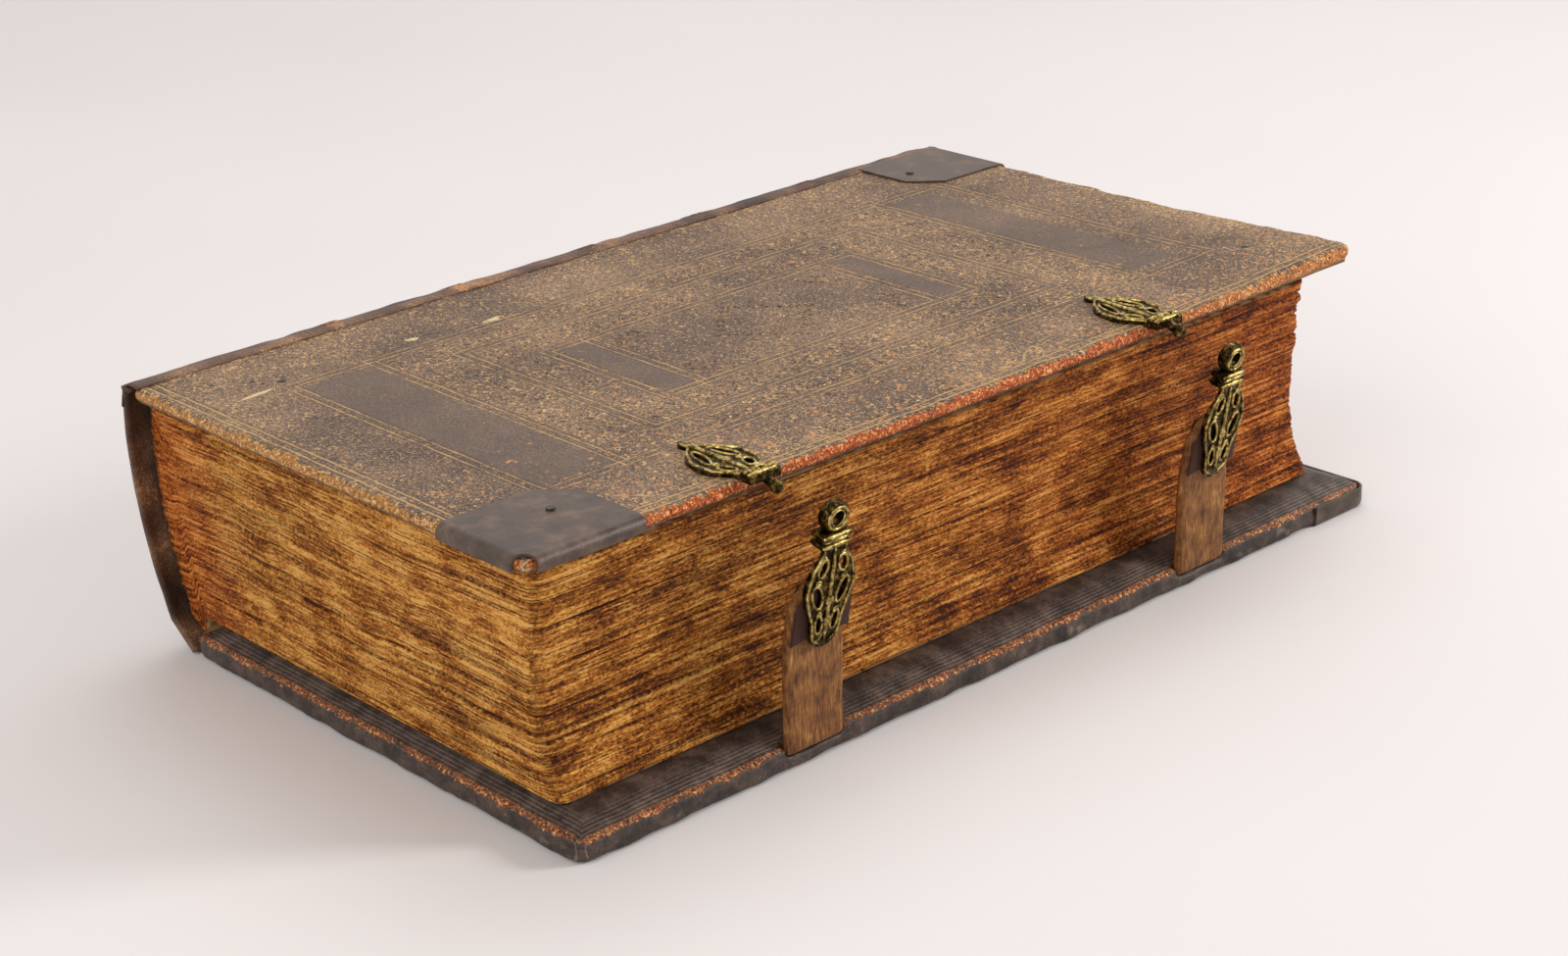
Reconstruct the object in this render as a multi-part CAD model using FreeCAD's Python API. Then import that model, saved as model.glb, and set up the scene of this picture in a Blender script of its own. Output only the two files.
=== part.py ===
import FreeCAD, Part
import math
import os

# A thick leather-bound book with two fore-edge clasps, lying on its lower cover. Millimetres.
# X runs from the spine to the fore-edge, Y from the tail to the head, Z up.
# The origin is the middle of the lower cover's underside.

# Covers: boards bevelled round their inner faces, wrapped in leather with turned-in edges
cover_length = 383.0
cover_width = 217.0
lower_board_core = 10.0
lower_bevel_drop = 4.0
upper_board_core = 7.0
upper_bevel_drop = 4.6
cover_leather = 1.1
bevel_width = 12.0
cover_edge_round = 2.6
cover_corner_round = 6.0
turn_in_width = 19.0
pastedown_thickness = 0.7

# The swollen block has carried the upper cover towards the tail
upper_shift_tail = 12.3

# Block of leaves: squares are the distances from its edges in to the edges of the covers
block_height = 82.2
body_gap = 0.3
lower_fore_square = 16.5
upper_fore_square = 9.2
lower_tail_square = 6.5
upper_tail_square = 9.5
lower_head_square = 12.5
upper_head_square = 15.5
fore_hollow = 7.1
block_corner_round = 4.0

# Rounded spine: an arc about a level line inside the block
spine_reach = 14.8
spine_round_radius = 152.0
spine_round_height = 45.0
spine_leather_thickness = 1.6
spine_lining_thickness = 0.9
spine_top_step = 1.7
spine_foot_height = 0.4
spine_end_step = 0.6

# Raised bands over the sewing cords
band_places = (-122.0, -67.0, -5.0, 49.2, 106.7)
band_rise = 6.7
band_height = 53.0
band_round_radius = 72.0
cord_width = 8.0
cord_edge_round = 2.4

# Rolled band at the head end of the spine
head_band_size = 4.5
head_band_low = 16.0
head_band_high = 92.0

# Sheet-metal corner pieces: two on the upper cover, one let into the lower cover
corner_leg_x = 41.0
corner_leg_y = 45.0
lower_corner_leg_x = 34.0
lower_corner_leg_y = 31.0
corner_cut_back = 11.0
corner_sheet = 0.9
corner_lip_gap = 0.5
corner_worn_radius = 5.0
corner_nail_tail = (24.0, 29.0)
corner_nail_head = (23.0, 36.0)
corner_nail_lower = (21.0, 19.0)

# Nails, pins and rivets
nail_head_radius = 1.5
nail_head_height = 0.7
nail_shank_radius = 0.8
nail_length = 6.8

# Catch plates on the upper cover, each a leaf, a collar and a ball past the cover's edge
catch_leaf_length = 38.0
catch_leaf_width = 20.0
catch_sheet = 1.3
catch_collar_length = 5.0
catch_collar_width = 12.0
catch_collar_height = 3.2
catch_collar_round = 0.65
catch_post_length = 4.6
catch_post_radius = 1.7
catch_ball_radius = 2.3
catch_ball_drop = 2.2
catch_tail_place = -115.3
catch_tail_turn = -1.0
catch_head_place = 70.2
catch_head_turn = -4.0
catch_pin_places = (7.6, 22.8)
catch_recess_width = 21.0
catch_recess_height = 3.4

# Straps standing in notches in the lower cover's fore-edge; the clasp end leans out further
strap_tail_place = -94.5
strap_head_place = 94.8
strap_width = 25.0
strap_thickness = 4.5
strap_length = 59.4
strap_top_chamfer = 8.0
strap_axis_height = 7.2
strap_lean = 2.5
strap_bend = 35.4
clasp_lean = 12.0
strap_proud = 0.4
notch_clearance = 0.8
notch_floor_gap = 0.35
strap_root_thickness = 2.4
strap_root_depth = 12.0
strap_nail_spread = 7.0
strap_nail_inset = 10.0

# Dark leather patch under each clasp plate
patch_thickness = 1.0
patch_start = 38.0
patch_sag = 2.4

# Clasps: an openwork plate, a moulded neck and a ring eye
clasp_plate_start = 35.4
clasp_plate_length = 38.2
clasp_plate_width = 21.0
clasp_sheet = 1.4
neck_height = 5.6
neck_width = 10.6
neck_depth = 5.0
neck_ridge = 0.6
neck_ridge_width = 1.4
neck_ridge_places = (0.7, 3.5)
eye_radius = 5.25
eye_hole_radius = 2.5
eye_thickness = 4.4
eye_edge_round = 1.2
back_plate_start = 41.4
back_plate_length = 15.0
back_plate_width = 14.0
back_plate_sheet = 1.0
back_plate_corner = 2.0
rivet_radius = 1.0
rivet_head_radius = 1.7
rivet_head_height = 0.7
rivet_places = (45.4, 52.9)

# Half outlines of the two openwork plates, as shares of their length and half width
catch_leaf_outline = (
    (0.08, 0.17), (0.17, 0.15), (0.27, 0.55), (0.48, 1.0), (0.72, 0.96), (0.9, 0.52), (1.0, 0.44),
)
clasp_leaf_outline = (
    (0.1, 0.55), (0.28, 0.64), (0.42, 0.84), (0.58, 1.0), (0.78, 0.82), (0.9, 0.5), (1.0, 0.44),
)

# Openings on each side of a plate's middle rib: place along and across, length and width, turn in degrees
catch_leaf_openings = ((0.44, 0.44, 0.3, 0.24, 14.0), (0.76, 0.44, 0.15, 0.26, -20.0))
clasp_leaf_openings = (
    (0.24, 0.32, 0.16, 0.22, 8.0),
    (0.52, 0.5, 0.22, 0.3, 18.0),
    (0.79, 0.4, 0.15, 0.26, -14.0),
)

# Fore-edge hollow: shares of the block's height and of the hollow's depth
fore_hollow_shape = ((0.12, 0.72), (0.3, 1.0), (0.55, 0.8), (0.8, 0.42))

Vector = FreeCAD.Vector
ALONG_X = Vector(1, 0, 0)
ALONG_Y = Vector(0, 1, 0)
ALONG_Z = Vector(0, 0, 1)

lower_thickness = lower_board_core + 2 * cover_leather
lower_edge = lower_thickness - lower_bevel_drop
upper_thickness = upper_board_core + 2 * cover_leather
upper_edge = upper_thickness - upper_bevel_drop
block_low = lower_thickness + body_gap
block_high = block_low + block_height
upper_low = block_high + body_gap
total_height = upper_low + upper_thickness

back_edge = -cover_width / 2
fore_edge = cover_width / 2
lower_tail = -cover_length / 2
lower_head = cover_length / 2
upper_tail = lower_tail - upper_shift_tail
upper_head = lower_head - upper_shift_tail

joint_x = back_edge - body_gap
spine_centre_x = back_edge - spine_reach + spine_round_radius
band_centre_x = back_edge - spine_reach - band_rise + band_round_radius
block_spine_depth = spine_leather_thickness + spine_lining_thickness

strap_axis_x = fore_edge + strap_proud - strap_thickness / 2
notch_depth = strap_thickness - strap_proud + notch_clearance


def block(x0, x1, y0, y1, z0, z1):
    return Part.makeBox(x1 - x0, y1 - y0, z1 - z0, Vector(x0, y0, z0))


def rounded_block(x0, x1, y0, y1, z0, z1, radius):
    solid = block(x0, x1, y0, y1, z0, z1)
    return solid.makeFillet(radius, solid.Edges)


def prism(points, direction):
    """A solid from a closed outline of straight sides, pushed along a vector."""
    return Part.Face(Part.makePolygon(points + [points[0]])).extrude(direction)


def save(name, *solids):
    shape = solids[0] if len(solids) == 1 else Part.makeCompound(list(solids))
    shape.exportStep("parts/" + name + ".step")


def slanted_ends(tail, head, low, high):
    """The space between two end planes; tail and head give Y at the heights low and high."""
    reach = total_height
    foot = low - reach
    crown = high + reach

    def at(ends, z):
        return ends[0] + (ends[1] - ends[0]) * (z - low) / (high - low)

    far = 2 * cover_width
    outline = [
        Vector(-far, at(tail, foot), foot),
        Vector(-far, at(head, foot), foot),
        Vector(-far, at(head, crown), crown),
        Vector(-far, at(tail, crown), crown),
    ]
    return prism(outline, Vector(2 * far, 0, 0))


# Covers, made with the inner face up and the middle of the outer face at the origin


def beveled_profile(half, inset, both_sides, thickness, edge):
    """A cover's section as pairs, across and up. The bevel runs down to the edge's thickness."""
    slope = (thickness - edge) / bevel_width
    lowered = inset * math.sqrt(1 + slope ** 2)
    low = inset
    top = thickness - inset
    outer = half - inset
    lip = edge + inset * slope - lowered
    brow = half - bevel_width - (lowered - inset) / slope
    points = [(outer, low), (outer, lip), (brow, top)]
    if both_sides:
        return points + [(-across, up) for across, up in reversed(points)]
    return points + [(-outer, top), (-outer, low)]


def cover_form(inset, thickness, edge):
    """A cover's outer form moved inward by inset on every side, or outward where inset is negative."""
    far = cover_length
    section = beveled_profile(cover_width / 2, inset, False, thickness, edge)
    long_section = beveled_profile(cover_length / 2, inset, True, thickness, edge)
    across = [Vector(x, -far, z) for x, z in section]
    along = [Vector(-far, y, z) for y, z in long_section]
    form = prism(across, Vector(0, 2 * far, 0)).common(prism(along, Vector(2 * far, 0, 0)))
    corner_round = cover_corner_round - inset
    uprights = [line for line in form.Edges if is_upright(line)]
    form = form.makeFillet(corner_round, uprights)
    outer_rim = [line for line in form.Edges if line.BoundBox.ZMax < inset + cover_leather / 9]
    return form.makeFillet(cover_edge_round - inset, outer_rim)


def is_upright(edge):
    box = edge.BoundBox
    return box.XLength < cover_leather / 9 and box.YLength < cover_leather / 9


def cover_window(low, high):
    half_x = cover_width / 2 - turn_in_width
    half_y = cover_length / 2 - turn_in_width
    return block(-half_x, half_x, -half_y, half_y, low, high)


def cover_parts(thickness, edge):
    """Leather wrapped round a board and turned in round its inner face, the board, and the paper on it."""
    board = cover_form(cover_leather, thickness, edge)
    inner_face = thickness - cover_leather
    leather = cover_form(0, thickness, edge).cut(board).cut(cover_window(inner_face, thickness))
    paper = cover_window(inner_face, inner_face + pastedown_thickness)
    return leather, board, paper


def corner_region(leg_x, leg_y, toward_fore, toward_head, low, high):
    """The space over one corner: a rectangle with its inner corner cut back."""
    side_x = 1 if toward_fore else -1
    side_y = 1 if toward_head else -1
    out = -2 * corner_sheet
    local = [
        (out, out),
        (leg_x, out),
        (leg_x, leg_y - corner_cut_back),
        (leg_x - corner_cut_back, leg_y),
        (out, leg_y),
    ]
    outline = []
    for a, b in local:
        x = side_x * (cover_width / 2 - a)
        y = side_y * (cover_length / 2 - b)
        outline.append(Vector(x, y, low))
    return prism(outline, Vector(0, 0, high - low))


def corner_over(toward_fore, toward_head):
    """Sheet over a corner of the upper cover's outer face, rolled over both edges."""
    outside = cover_form(-corner_sheet, upper_thickness, upper_edge)
    sheet = outside.cut(cover_form(0, upper_thickness, upper_edge))
    lip = upper_edge - corner_lip_gap
    return sheet.common(
        corner_region(corner_leg_x, corner_leg_y, toward_fore, toward_head, -2 * corner_sheet, lip)
    )


def corner_let_in(toward_fore, toward_head):
    """Sheet let into the lower cover's outer face, flush with it, and rolled over both edges."""
    inlay = block(-cover_width, cover_width, -cover_length, cover_length, -corner_sheet, corner_sheet)
    outside = cover_form(-corner_sheet, lower_thickness, lower_edge)
    sheet = outside.cut(cover_form(0, lower_thickness, lower_edge).cut(inlay))
    lip = lower_edge - corner_lip_gap
    return sheet.common(
        corner_region(lower_corner_leg_x, lower_corner_leg_y, toward_fore, toward_head, 0, lip)
    )


def turned_over(shape):
    """Move a piece of a cover to the upper cover, inner face down."""
    flipped = shape.mirror(Vector(0, 0, upper_thickness / 2), ALONG_Z)
    flipped.translate(Vector(0, -upper_shift_tail, upper_low))
    return flipped


def nail(x, y, seat, up, head_height):
    """A nail whose head sits on the height seat and whose shank goes the other way."""
    way = 1 if up else -1
    shank = Part.makeCylinder(nail_shank_radius, nail_length, Vector(x, y, seat), Vector(0, 0, -way))
    head = Part.makeCylinder(nail_head_radius, head_height, Vector(x, y, seat), Vector(0, 0, way))
    return head.fuse(shank).removeSplitter()


# Block and spine


def arc_x(depth, z):
    radius = spine_round_radius - depth
    return spine_centre_x - math.sqrt(radius ** 2 - (z - spine_round_height) ** 2)


def foot_corner(depth):
    """Where the sloping foot of the spine, depth inside the leather's face, meets the arc."""
    x = joint_x
    z = spine_foot_height + depth * math.sqrt(2)
    radius = spine_round_radius - depth
    a = (z - spine_round_height) - (x - spine_centre_x)
    b = (x - spine_centre_x) ** 2 + (z - spine_round_height) ** 2 - radius ** 2
    step = (-a + math.sqrt(a ** 2 - 2 * b)) / 2
    return Vector(joint_x, 0, z), Vector(x - step, 0, z + step)


def spine_edges(depth):
    """The spine's outline, depth inside the leather's face, from the upper joint down to the lower one."""
    top = total_height - spine_top_step - depth
    start = Vector(joint_x, 0, top)
    crown = Vector(arc_x(depth, top), 0, top)
    middle = Vector(spine_centre_x - spine_round_radius + depth, 0, spine_round_height)
    end, heel = foot_corner(depth)
    arc = Part.Arc(crown, middle, heel).toShape()
    return start, end, [Part.makeLine(start, crown), arc, Part.makeLine(heel, end)]


def drawn_out(edges, y0, y1):
    """A solid between two Y positions from the closed outline that the edges make."""
    face = Part.Face(Part.Wire(Part.__sortEdges__(edges)))
    face.translate(Vector(0, y0, 0))
    return face.extrude(Vector(0, y1 - y0, 0))


def spine_layer(depth, thickness, ends):
    outer_start, outer_end, outer = spine_edges(depth)
    inner_start, inner_end, inner = spine_edges(depth + thickness)
    closing = [Part.makeLine(outer_start, inner_start), Part.makeLine(outer_end, inner_end)]
    edges = outer + inner + closing
    return drawn_out(edges, -cover_length, cover_length).common(ends)


def rounded_disc(radius, place, width, edge_round):
    disc = Part.makeCylinder(radius, width, Vector(band_centre_x, place - width / 2, band_height), ALONG_Y)
    rims = [edge for edge in disc.Edges if isinstance(edge.Curve, Part.Circle)]
    return disc.makeFillet(edge_round, rims)


def sewing_cord(place):
    """A cord across the folds of the leaves, thickest in its middle and frayed out at its ends."""
    radius = band_round_radius - spine_leather_thickness
    cord = rounded_disc(radius, place, cord_width, cord_edge_round)
    folds = Part.makeCylinder(
        spine_round_radius - block_spine_depth,
        2 * cord_width,
        Vector(spine_centre_x, place - cord_width, spine_round_height),
        ALONG_Y,
    )
    return cord.cut(folds)


def raised_band(place):
    width = cord_width + 2 * spine_leather_thickness
    band = rounded_disc(band_round_radius, place, width, cord_edge_round + spine_leather_thickness / 2)
    inside = Part.makeCylinder(
        spine_round_radius - spine_leather_thickness,
        2 * width,
        Vector(spine_centre_x, place - width, spine_round_height),
        ALONG_Y,
    )
    return band.cut(inside)


def leaf_block(ends):
    """The pages: rounded at the spine with a shoulder at each joint, hollow at the fore-edge."""
    fore_low = Vector(fore_edge - lower_fore_square, 0, block_low)
    fore_high = Vector(fore_edge - upper_fore_square, 0, block_high)
    hollow = []
    for height_share, depth_share in fore_hollow_shape:
        on_line = fore_low + (fore_high - fore_low) * height_share
        hollow.append(on_line - ALONG_X * fore_hollow * depth_share)
    fore = Part.BSplineCurve()
    fore.interpolate([fore_low] + hollow + [fore_high])
    start, end, spine = spine_edges(block_spine_depth)
    joint_top = Vector(joint_x, 0, block_high)
    joint_bottom = Vector(joint_x, 0, block_low)
    edges = spine + [
        Part.makeLine(end, joint_bottom),
        Part.makeLine(joint_bottom, fore_low),
        fore.toShape(),
        Part.makeLine(fore_high, joint_top),
        Part.makeLine(joint_top, start),
    ]
    pages = drawn_out(edges, -cover_length, cover_length).common(ends)
    corners = []
    for edge in pages.Edges:
        box = edge.BoundBox
        if box.XMin > 0 and box.ZLength > block_height / 2:
            corners.append(edge)
    return pages.makeFillet(block_corner_round, corners)


def spine_roll(ends):
    """The rolled band that stands on the head end of the folds."""
    deep = block_spine_depth + head_band_size
    outer = Part.makeCylinder(
        spine_round_radius - block_spine_depth, 2 * cover_length,
        Vector(spine_centre_x, -cover_length, spine_round_height), ALONG_Y,
    )
    inner = Part.makeCylinder(
        spine_round_radius - deep, 2 * cover_length,
        Vector(spine_centre_x, -cover_length, spine_round_height), ALONG_Y,
    )
    window = block(-cover_width, back_edge, -cover_length, cover_length, head_band_low, head_band_high)
    return outer.cut(inner).common(window).common(ends)


# Metalwork


def leaf_plate(length, width, sheet, outline, openings):
    """An openwork leaf in the XY plane, from its tip at the origin along X to its broad end."""
    half = width / 2
    points = [Vector(0, 0, 0)] + [Vector(a * length, b * half, 0) for a, b in outline]
    upper = Part.BSplineCurve()
    upper.interpolate(points)
    lower = Part.BSplineCurve()
    lower.interpolate([Vector(p.x, -p.y, 0) for p in points])
    end = points[-1]
    edges = [upper.toShape(), Part.makeLine(end, Vector(end.x, -end.y, 0)), lower.toShape()]
    plate = Part.Face(Part.Wire(Part.__sortEdges__(edges))).extrude(ALONG_Z * sheet)
    for along, across, long_share, wide_share, turn in openings:
        for side in (1, -1):
            major = length * long_share / 2
            minor = half * wide_share / 2
            ring = Part.Ellipse(Vector(0, 0, 0), max(major, minor), min(major, minor)).toShape()
            hole = Part.Face(Part.Wire(ring)).extrude(ALONG_Z * (sheet * 3))
            if minor > major:
                hole.rotate(Vector(0, 0, 0), ALONG_Z, 90)
            hole.rotate(Vector(0, 0, 0), ALONG_Z, side * turn)
            hole.translate(Vector(along * length, side * across * half, -sheet))
            plate = plate.cut(hole)
    return plate


def catch_plate(place, turn):
    """Leaf, collar, post and ball in one casting, lying on the upper cover."""
    leaf = leaf_plate(
        catch_leaf_length, catch_leaf_width, catch_sheet, catch_leaf_outline, catch_leaf_openings
    )
    collar_start = catch_leaf_length - catch_sheet
    collar = block(
        collar_start, collar_start + catch_collar_length,
        -catch_collar_width / 2, catch_collar_width / 2, 0, catch_collar_height,
    )
    top_edges = [edge for edge in collar.Edges if edge.BoundBox.ZMin > catch_collar_height / 2]
    collar = collar.makeFillet(catch_collar_round, top_edges)
    post_start = Vector(collar_start + catch_collar_length / 2, 0, catch_collar_height / 2)
    ball_centre = Vector(
        collar_start + catch_collar_length + catch_post_length, 0, catch_collar_height / 2 - catch_ball_drop
    )
    way = ball_centre - post_start
    post = Part.makeCylinder(catch_post_radius, way.Length, post_start, way)
    behind = block(
        0, collar_start + catch_collar_length / 2,
        -catch_leaf_width, catch_leaf_width, -catch_leaf_width, catch_leaf_width,
    )
    post = post.cut(behind)
    ball = Part.makeSphere(catch_ball_radius, ball_centre)
    casting = leaf.fuse([collar, post, ball]).removeSplitter()
    casting.rotate(Vector(collar_start, 0, 0), ALONG_Z, turn)
    casting.translate(Vector(fore_edge - collar_start, place, total_height))
    return casting


def catch_pin(place, turn, from_tip):
    """A pin through the middle rib of a catch plate."""
    along = Vector(from_tip - catch_leaf_length, 0, 0)
    spot = FreeCAD.Rotation(ALONG_Z, turn).multVec(along)
    x = fore_edge + catch_sheet + spot.x
    return nail(x, place + spot.y, total_height + catch_sheet, True, nail_head_height)


def set_on_strap(shape, place):
    """Move a solid from the strap's own axes to its place on the lower cover's fore-edge."""
    shape.rotate(Vector(0, 0, 0), ALONG_Y, strap_lean)
    shape.translate(Vector(strap_axis_x, place, strap_axis_height))
    return shape


def set_on_clasp_end(shape, place):
    """The same for what sits above the strap's bend."""
    shape.rotate(Vector(0, 0, strap_bend), ALONG_Y, clasp_lean - strap_lean)
    return set_on_strap(shape, place)


def strap_outline(bottom, sag):
    """Outline in the YZ plane from a height up to the strap's chamfered end, with a sagging lower edge."""
    half = strap_width / 2
    left = Vector(0, -half, bottom)
    right = Vector(0, half, bottom)
    sides = [
        right,
        Vector(0, half, strap_length - strap_top_chamfer),
        Vector(0, half - strap_top_chamfer, strap_length),
        Vector(0, strap_top_chamfer - half, strap_length),
        Vector(0, -half, strap_length - strap_top_chamfer),
        left,
    ]
    edges = [Part.makeLine(sides[i], sides[i + 1]) for i in range(len(sides) - 1)]
    if sag > 0:
        edges.append(Part.Arc(left, Vector(0, 0, bottom - sag), right).toShape())
    else:
        edges.append(Part.makeLine(left, right))
    return Part.Face(Part.Wire(Part.__sortEdges__(edges)))


def strap(place):
    """Leather strip, round at its foot, bent outward below the clasp."""
    half = strap_thickness / 2
    side = strap_width / 2
    face = strap_outline(strap_bend, 0)
    face.translate(Vector(-half, 0, 0))
    upper = face.extrude(ALONG_X * strap_thickness)
    upper.rotate(Vector(0, 0, strap_bend), ALONG_Y, clasp_lean - strap_lean)
    lower = block(-half, half, -side, side, 0, strap_bend)
    foot = Part.makeCylinder(half, strap_width, Vector(0, -side, 0), ALONG_Y)
    knee = Part.makeCylinder(half, strap_width, Vector(0, -side, strap_bend), ALONG_Y)
    return set_on_strap(lower.fuse([foot, knee, upper]).removeSplitter(), place)


def strap_patch(place):
    face = strap_outline(patch_start, patch_sag)
    face.translate(Vector(strap_thickness / 2, 0, 0))
    return set_on_clasp_end(face.extrude(ALONG_X * patch_thickness), place)


def clasp(place):
    """Openwork plate, moulded neck and ring eye in one casting."""
    back = strap_thickness / 2 + patch_thickness
    leaf = leaf_plate(
        clasp_plate_length, clasp_plate_width, clasp_sheet, clasp_leaf_outline, clasp_leaf_openings
    )
    leaf.rotate(Vector(0, 0, 0), ALONG_Y, -90)
    leaf.translate(Vector(back + clasp_sheet, 0, clasp_plate_start))
    neck_low = clasp_plate_start + clasp_plate_length - clasp_sheet
    front = back + clasp_sheet
    neck = block(
        front - neck_depth, front, -neck_width / 2, neck_width / 2, neck_low, neck_low + neck_height
    )
    ridges = []
    side = neck_width / 2 + neck_ridge
    for ridge_place in neck_ridge_places:
        low = neck_low + ridge_place
        ridges.append(rounded_block(
            front - neck_depth - neck_ridge, front + neck_ridge, -side, side,
            low, low + neck_ridge_width, neck_ridge / 2,
        ))
    eye_height = neck_low + neck_height + eye_radius - neck_ridge
    eye_middle = front - neck_depth / 2
    eye_back = Vector(eye_middle - eye_thickness / 2, 0, eye_height)
    eye = Part.makeCylinder(eye_radius, eye_thickness, eye_back, ALONG_X)
    hole = Part.makeCylinder(eye_hole_radius, eye_thickness, eye_back, ALONG_X)
    rims = [edge for edge in eye.Edges if isinstance(edge.Curve, Part.Circle)]
    eye = eye.makeFillet(eye_edge_round, rims).cut(hole)
    casting = leaf.fuse([neck, eye] + ridges).cut(hole).removeSplitter()
    return set_on_clasp_end(casting, place)


def clasp_back(place):
    back = -strap_thickness / 2
    plate = block(
        back - back_plate_sheet, back, -back_plate_width / 2, back_plate_width / 2,
        back_plate_start, back_plate_start + back_plate_length,
    )
    uprights = [edge for edge in plate.Edges if edge.BoundBox.XLength > back_plate_sheet / 2]
    return set_on_clasp_end(plate.makeFillet(back_plate_corner, uprights), place)


def clasp_rivet(place, along):
    """A rivet from the face of the clasp plate through patch and strap to the back plate."""
    front = strap_thickness / 2 + patch_thickness + clasp_sheet
    back = -strap_thickness / 2 - back_plate_sheet
    shank = Part.makeCylinder(rivet_radius, front - back, Vector(back, 0, along), ALONG_X)
    head = Part.makeCylinder(rivet_head_radius, rivet_head_height, Vector(front, 0, along), ALONG_X)
    tail = Part.makeCylinder(rivet_head_radius, rivet_head_height, Vector(back, 0, along), ALONG_X * -1)
    return set_on_clasp_end(shank.fuse([head, tail]).removeSplitter(), place)


def strap_root(place):
    """The nailed end of a strap in its slot in the lower board, ending behind the strap's round foot."""
    half = strap_width / 2
    end = strap_axis_x - strap_thickness / 2 - body_gap
    low = strap_axis_height - strap_root_thickness / 2
    return block(end - strap_root_depth, end, place - half, place + half, low, low + strap_root_thickness)


def strap_notch(place):
    """The space that a strap's foot stands in."""
    half = strap_width / 2 + notch_clearance / 2
    low = strap_axis_height - strap_thickness / 2 - notch_floor_gap
    return block(fore_edge - notch_depth, 2 * fore_edge, place - half, place + half, low, lower_thickness)


def lower_cover_pieces():
    leather, board, paper = cover_parts(lower_thickness, lower_edge)
    corner = corner_let_in(True, True)
    corner_nail = nail(
        fore_edge - corner_nail_lower[0], lower_head - corner_nail_lower[1], corner_sheet, False, corner_sheet
    )
    roots = {}
    strap_nails = []
    for end, place in strap_places.items():
        roots[end] = strap_root(place)
        leather = leather.cut(strap_notch(place))
        board = board.cut(strap_notch(place))
        for side in (-1, 1):
            x = fore_edge - strap_nail_inset
            y = place + side * strap_nail_spread
            strap_nails.append(nail(x, y, nail_head_height, False, nail_head_height))
    sunk = list(roots.values()) + [corner_nail] + strap_nails
    leather = leather.cut(Part.makeCompound(sunk + [corner]))
    board = board.cut(Part.makeCompound(sunk))
    for end in strap_places:
        save("strap_root_" + end, roots[end].cut(Part.makeCompound(strap_nails)))
    save("lower_leather", leather)
    save("lower_board", board)
    save("lower_pastedown", paper)
    save("corner_piece_lower_head", corner.cut(corner_nail))
    save("corner_nail_lower", corner_nail)
    save("strap_nails", *strap_nails)


def block_pieces():
    tail = (lower_tail + lower_tail_square, upper_tail + upper_tail_square)
    head = (lower_head - lower_head_square, upper_head - upper_head_square)
    block_ends = slanted_ends(tail, head, block_low, block_high)
    roll_ends = slanted_ends(head, tuple(y + head_band_size for y in head), block_low, block_high)
    spine_tail = (lower_tail + spine_end_step, upper_tail + spine_end_step)
    spine_head = (lower_head - spine_end_step, upper_head - spine_end_step)
    spine_ends = slanted_ends(spine_tail, spine_head, 0, total_height)
    lining = spine_layer(spine_leather_thickness, spine_lining_thickness, block_ends)
    spine = spine_layer(0, spine_leather_thickness, spine_ends)
    for number, place in enumerate(band_places, start=1):
        cord = sewing_cord(place)
        spine = spine.fuse(raised_band(place)).cut(cord)
        half = cord_width / 2
        lining = lining.cut(block(-cover_width, 0, place - half, place + half, 0, total_height))
        save("sewing_cord_" + str(number), cord)
    save("text_block", leaf_block(block_ends))
    save("spine_lining", lining)
    save("spine_leather", spine.removeSplitter())
    save("head_band", spine_roll(roll_ends))


def upper_cover_pieces():
    pieces = cover_parts(upper_thickness, upper_edge)
    leather, board, paper = [turned_over(piece) for piece in pieces]
    worn = Part.makeCylinder(corner_worn_radius, 2 * total_height, Vector(fore_edge, upper_tail, 0), ALONG_Z)
    corner_tail = turned_over(corner_over(True, False)).cut(worn)
    over_cover = block(back_edge, cover_width, -cover_length, cover_length, upper_low, 2 * total_height)
    corner_head = turned_over(corner_over(False, True)).common(over_cover)
    seat = total_height + corner_sheet
    nail_places = (
        (fore_edge - corner_nail_tail[0], upper_tail + corner_nail_tail[1]),
        (back_edge + corner_nail_head[0], upper_head - corner_nail_head[1]),
    )
    nails = [nail(x, y, seat, True, nail_head_height) for x, y in nail_places]
    catches = {
        "tail": (catch_tail_place, catch_tail_turn),
        "head": (catch_head_place, catch_head_turn),
    }
    pins = [catch_pin(place, turn, along) for place, turn in catches.values() for along in catch_pin_places]
    for place, turn in catches.values():
        leather = leather.cut(block(
            fore_edge - cover_leather, fore_edge + cover_leather,
            place - catch_recess_width / 2, place + catch_recess_width / 2,
            total_height - catch_recess_height, total_height,
        ))
    driven = Part.makeCompound(nails + pins)
    save("upper_leather", leather.cut(driven))
    save("upper_board", board.cut(driven))
    save("upper_pastedown", paper)
    save("corner_piece_upper_tail", corner_tail.cut(nails[0]))
    save("corner_piece_upper_head", corner_head.cut(nails[1]))
    save("corner_nails_upper", *nails)
    save("catch_pins", *pins)
    for end, (place, turn) in catches.items():
        save("catch_plate_" + end, catch_plate(place, turn).cut(driven))


def strap_pieces():
    for end, place in strap_places.items():
        rivets = [clasp_rivet(place, along) for along in rivet_places]
        riveted = Part.makeCompound(rivets)
        save("strap_" + end, strap(place).cut(riveted))
        save("strap_patch_" + end, strap_patch(place).cut(riveted))
        save("clasp_" + end, clasp(place).cut(riveted))
        save("clasp_back_" + end, clasp_back(place).cut(riveted))
        save("clasp_rivets_" + end, *rivets)


strap_places = {"tail": strap_tail_place, "head": strap_head_place}
os.makedirs("parts", exist_ok=True)
lower_cover_pieces()
block_pieces()
upper_cover_pieces()
strap_pieces()
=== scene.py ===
import bpy
import bmesh
import math
import numpy as np
from mathutils import Matrix, Vector


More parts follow.
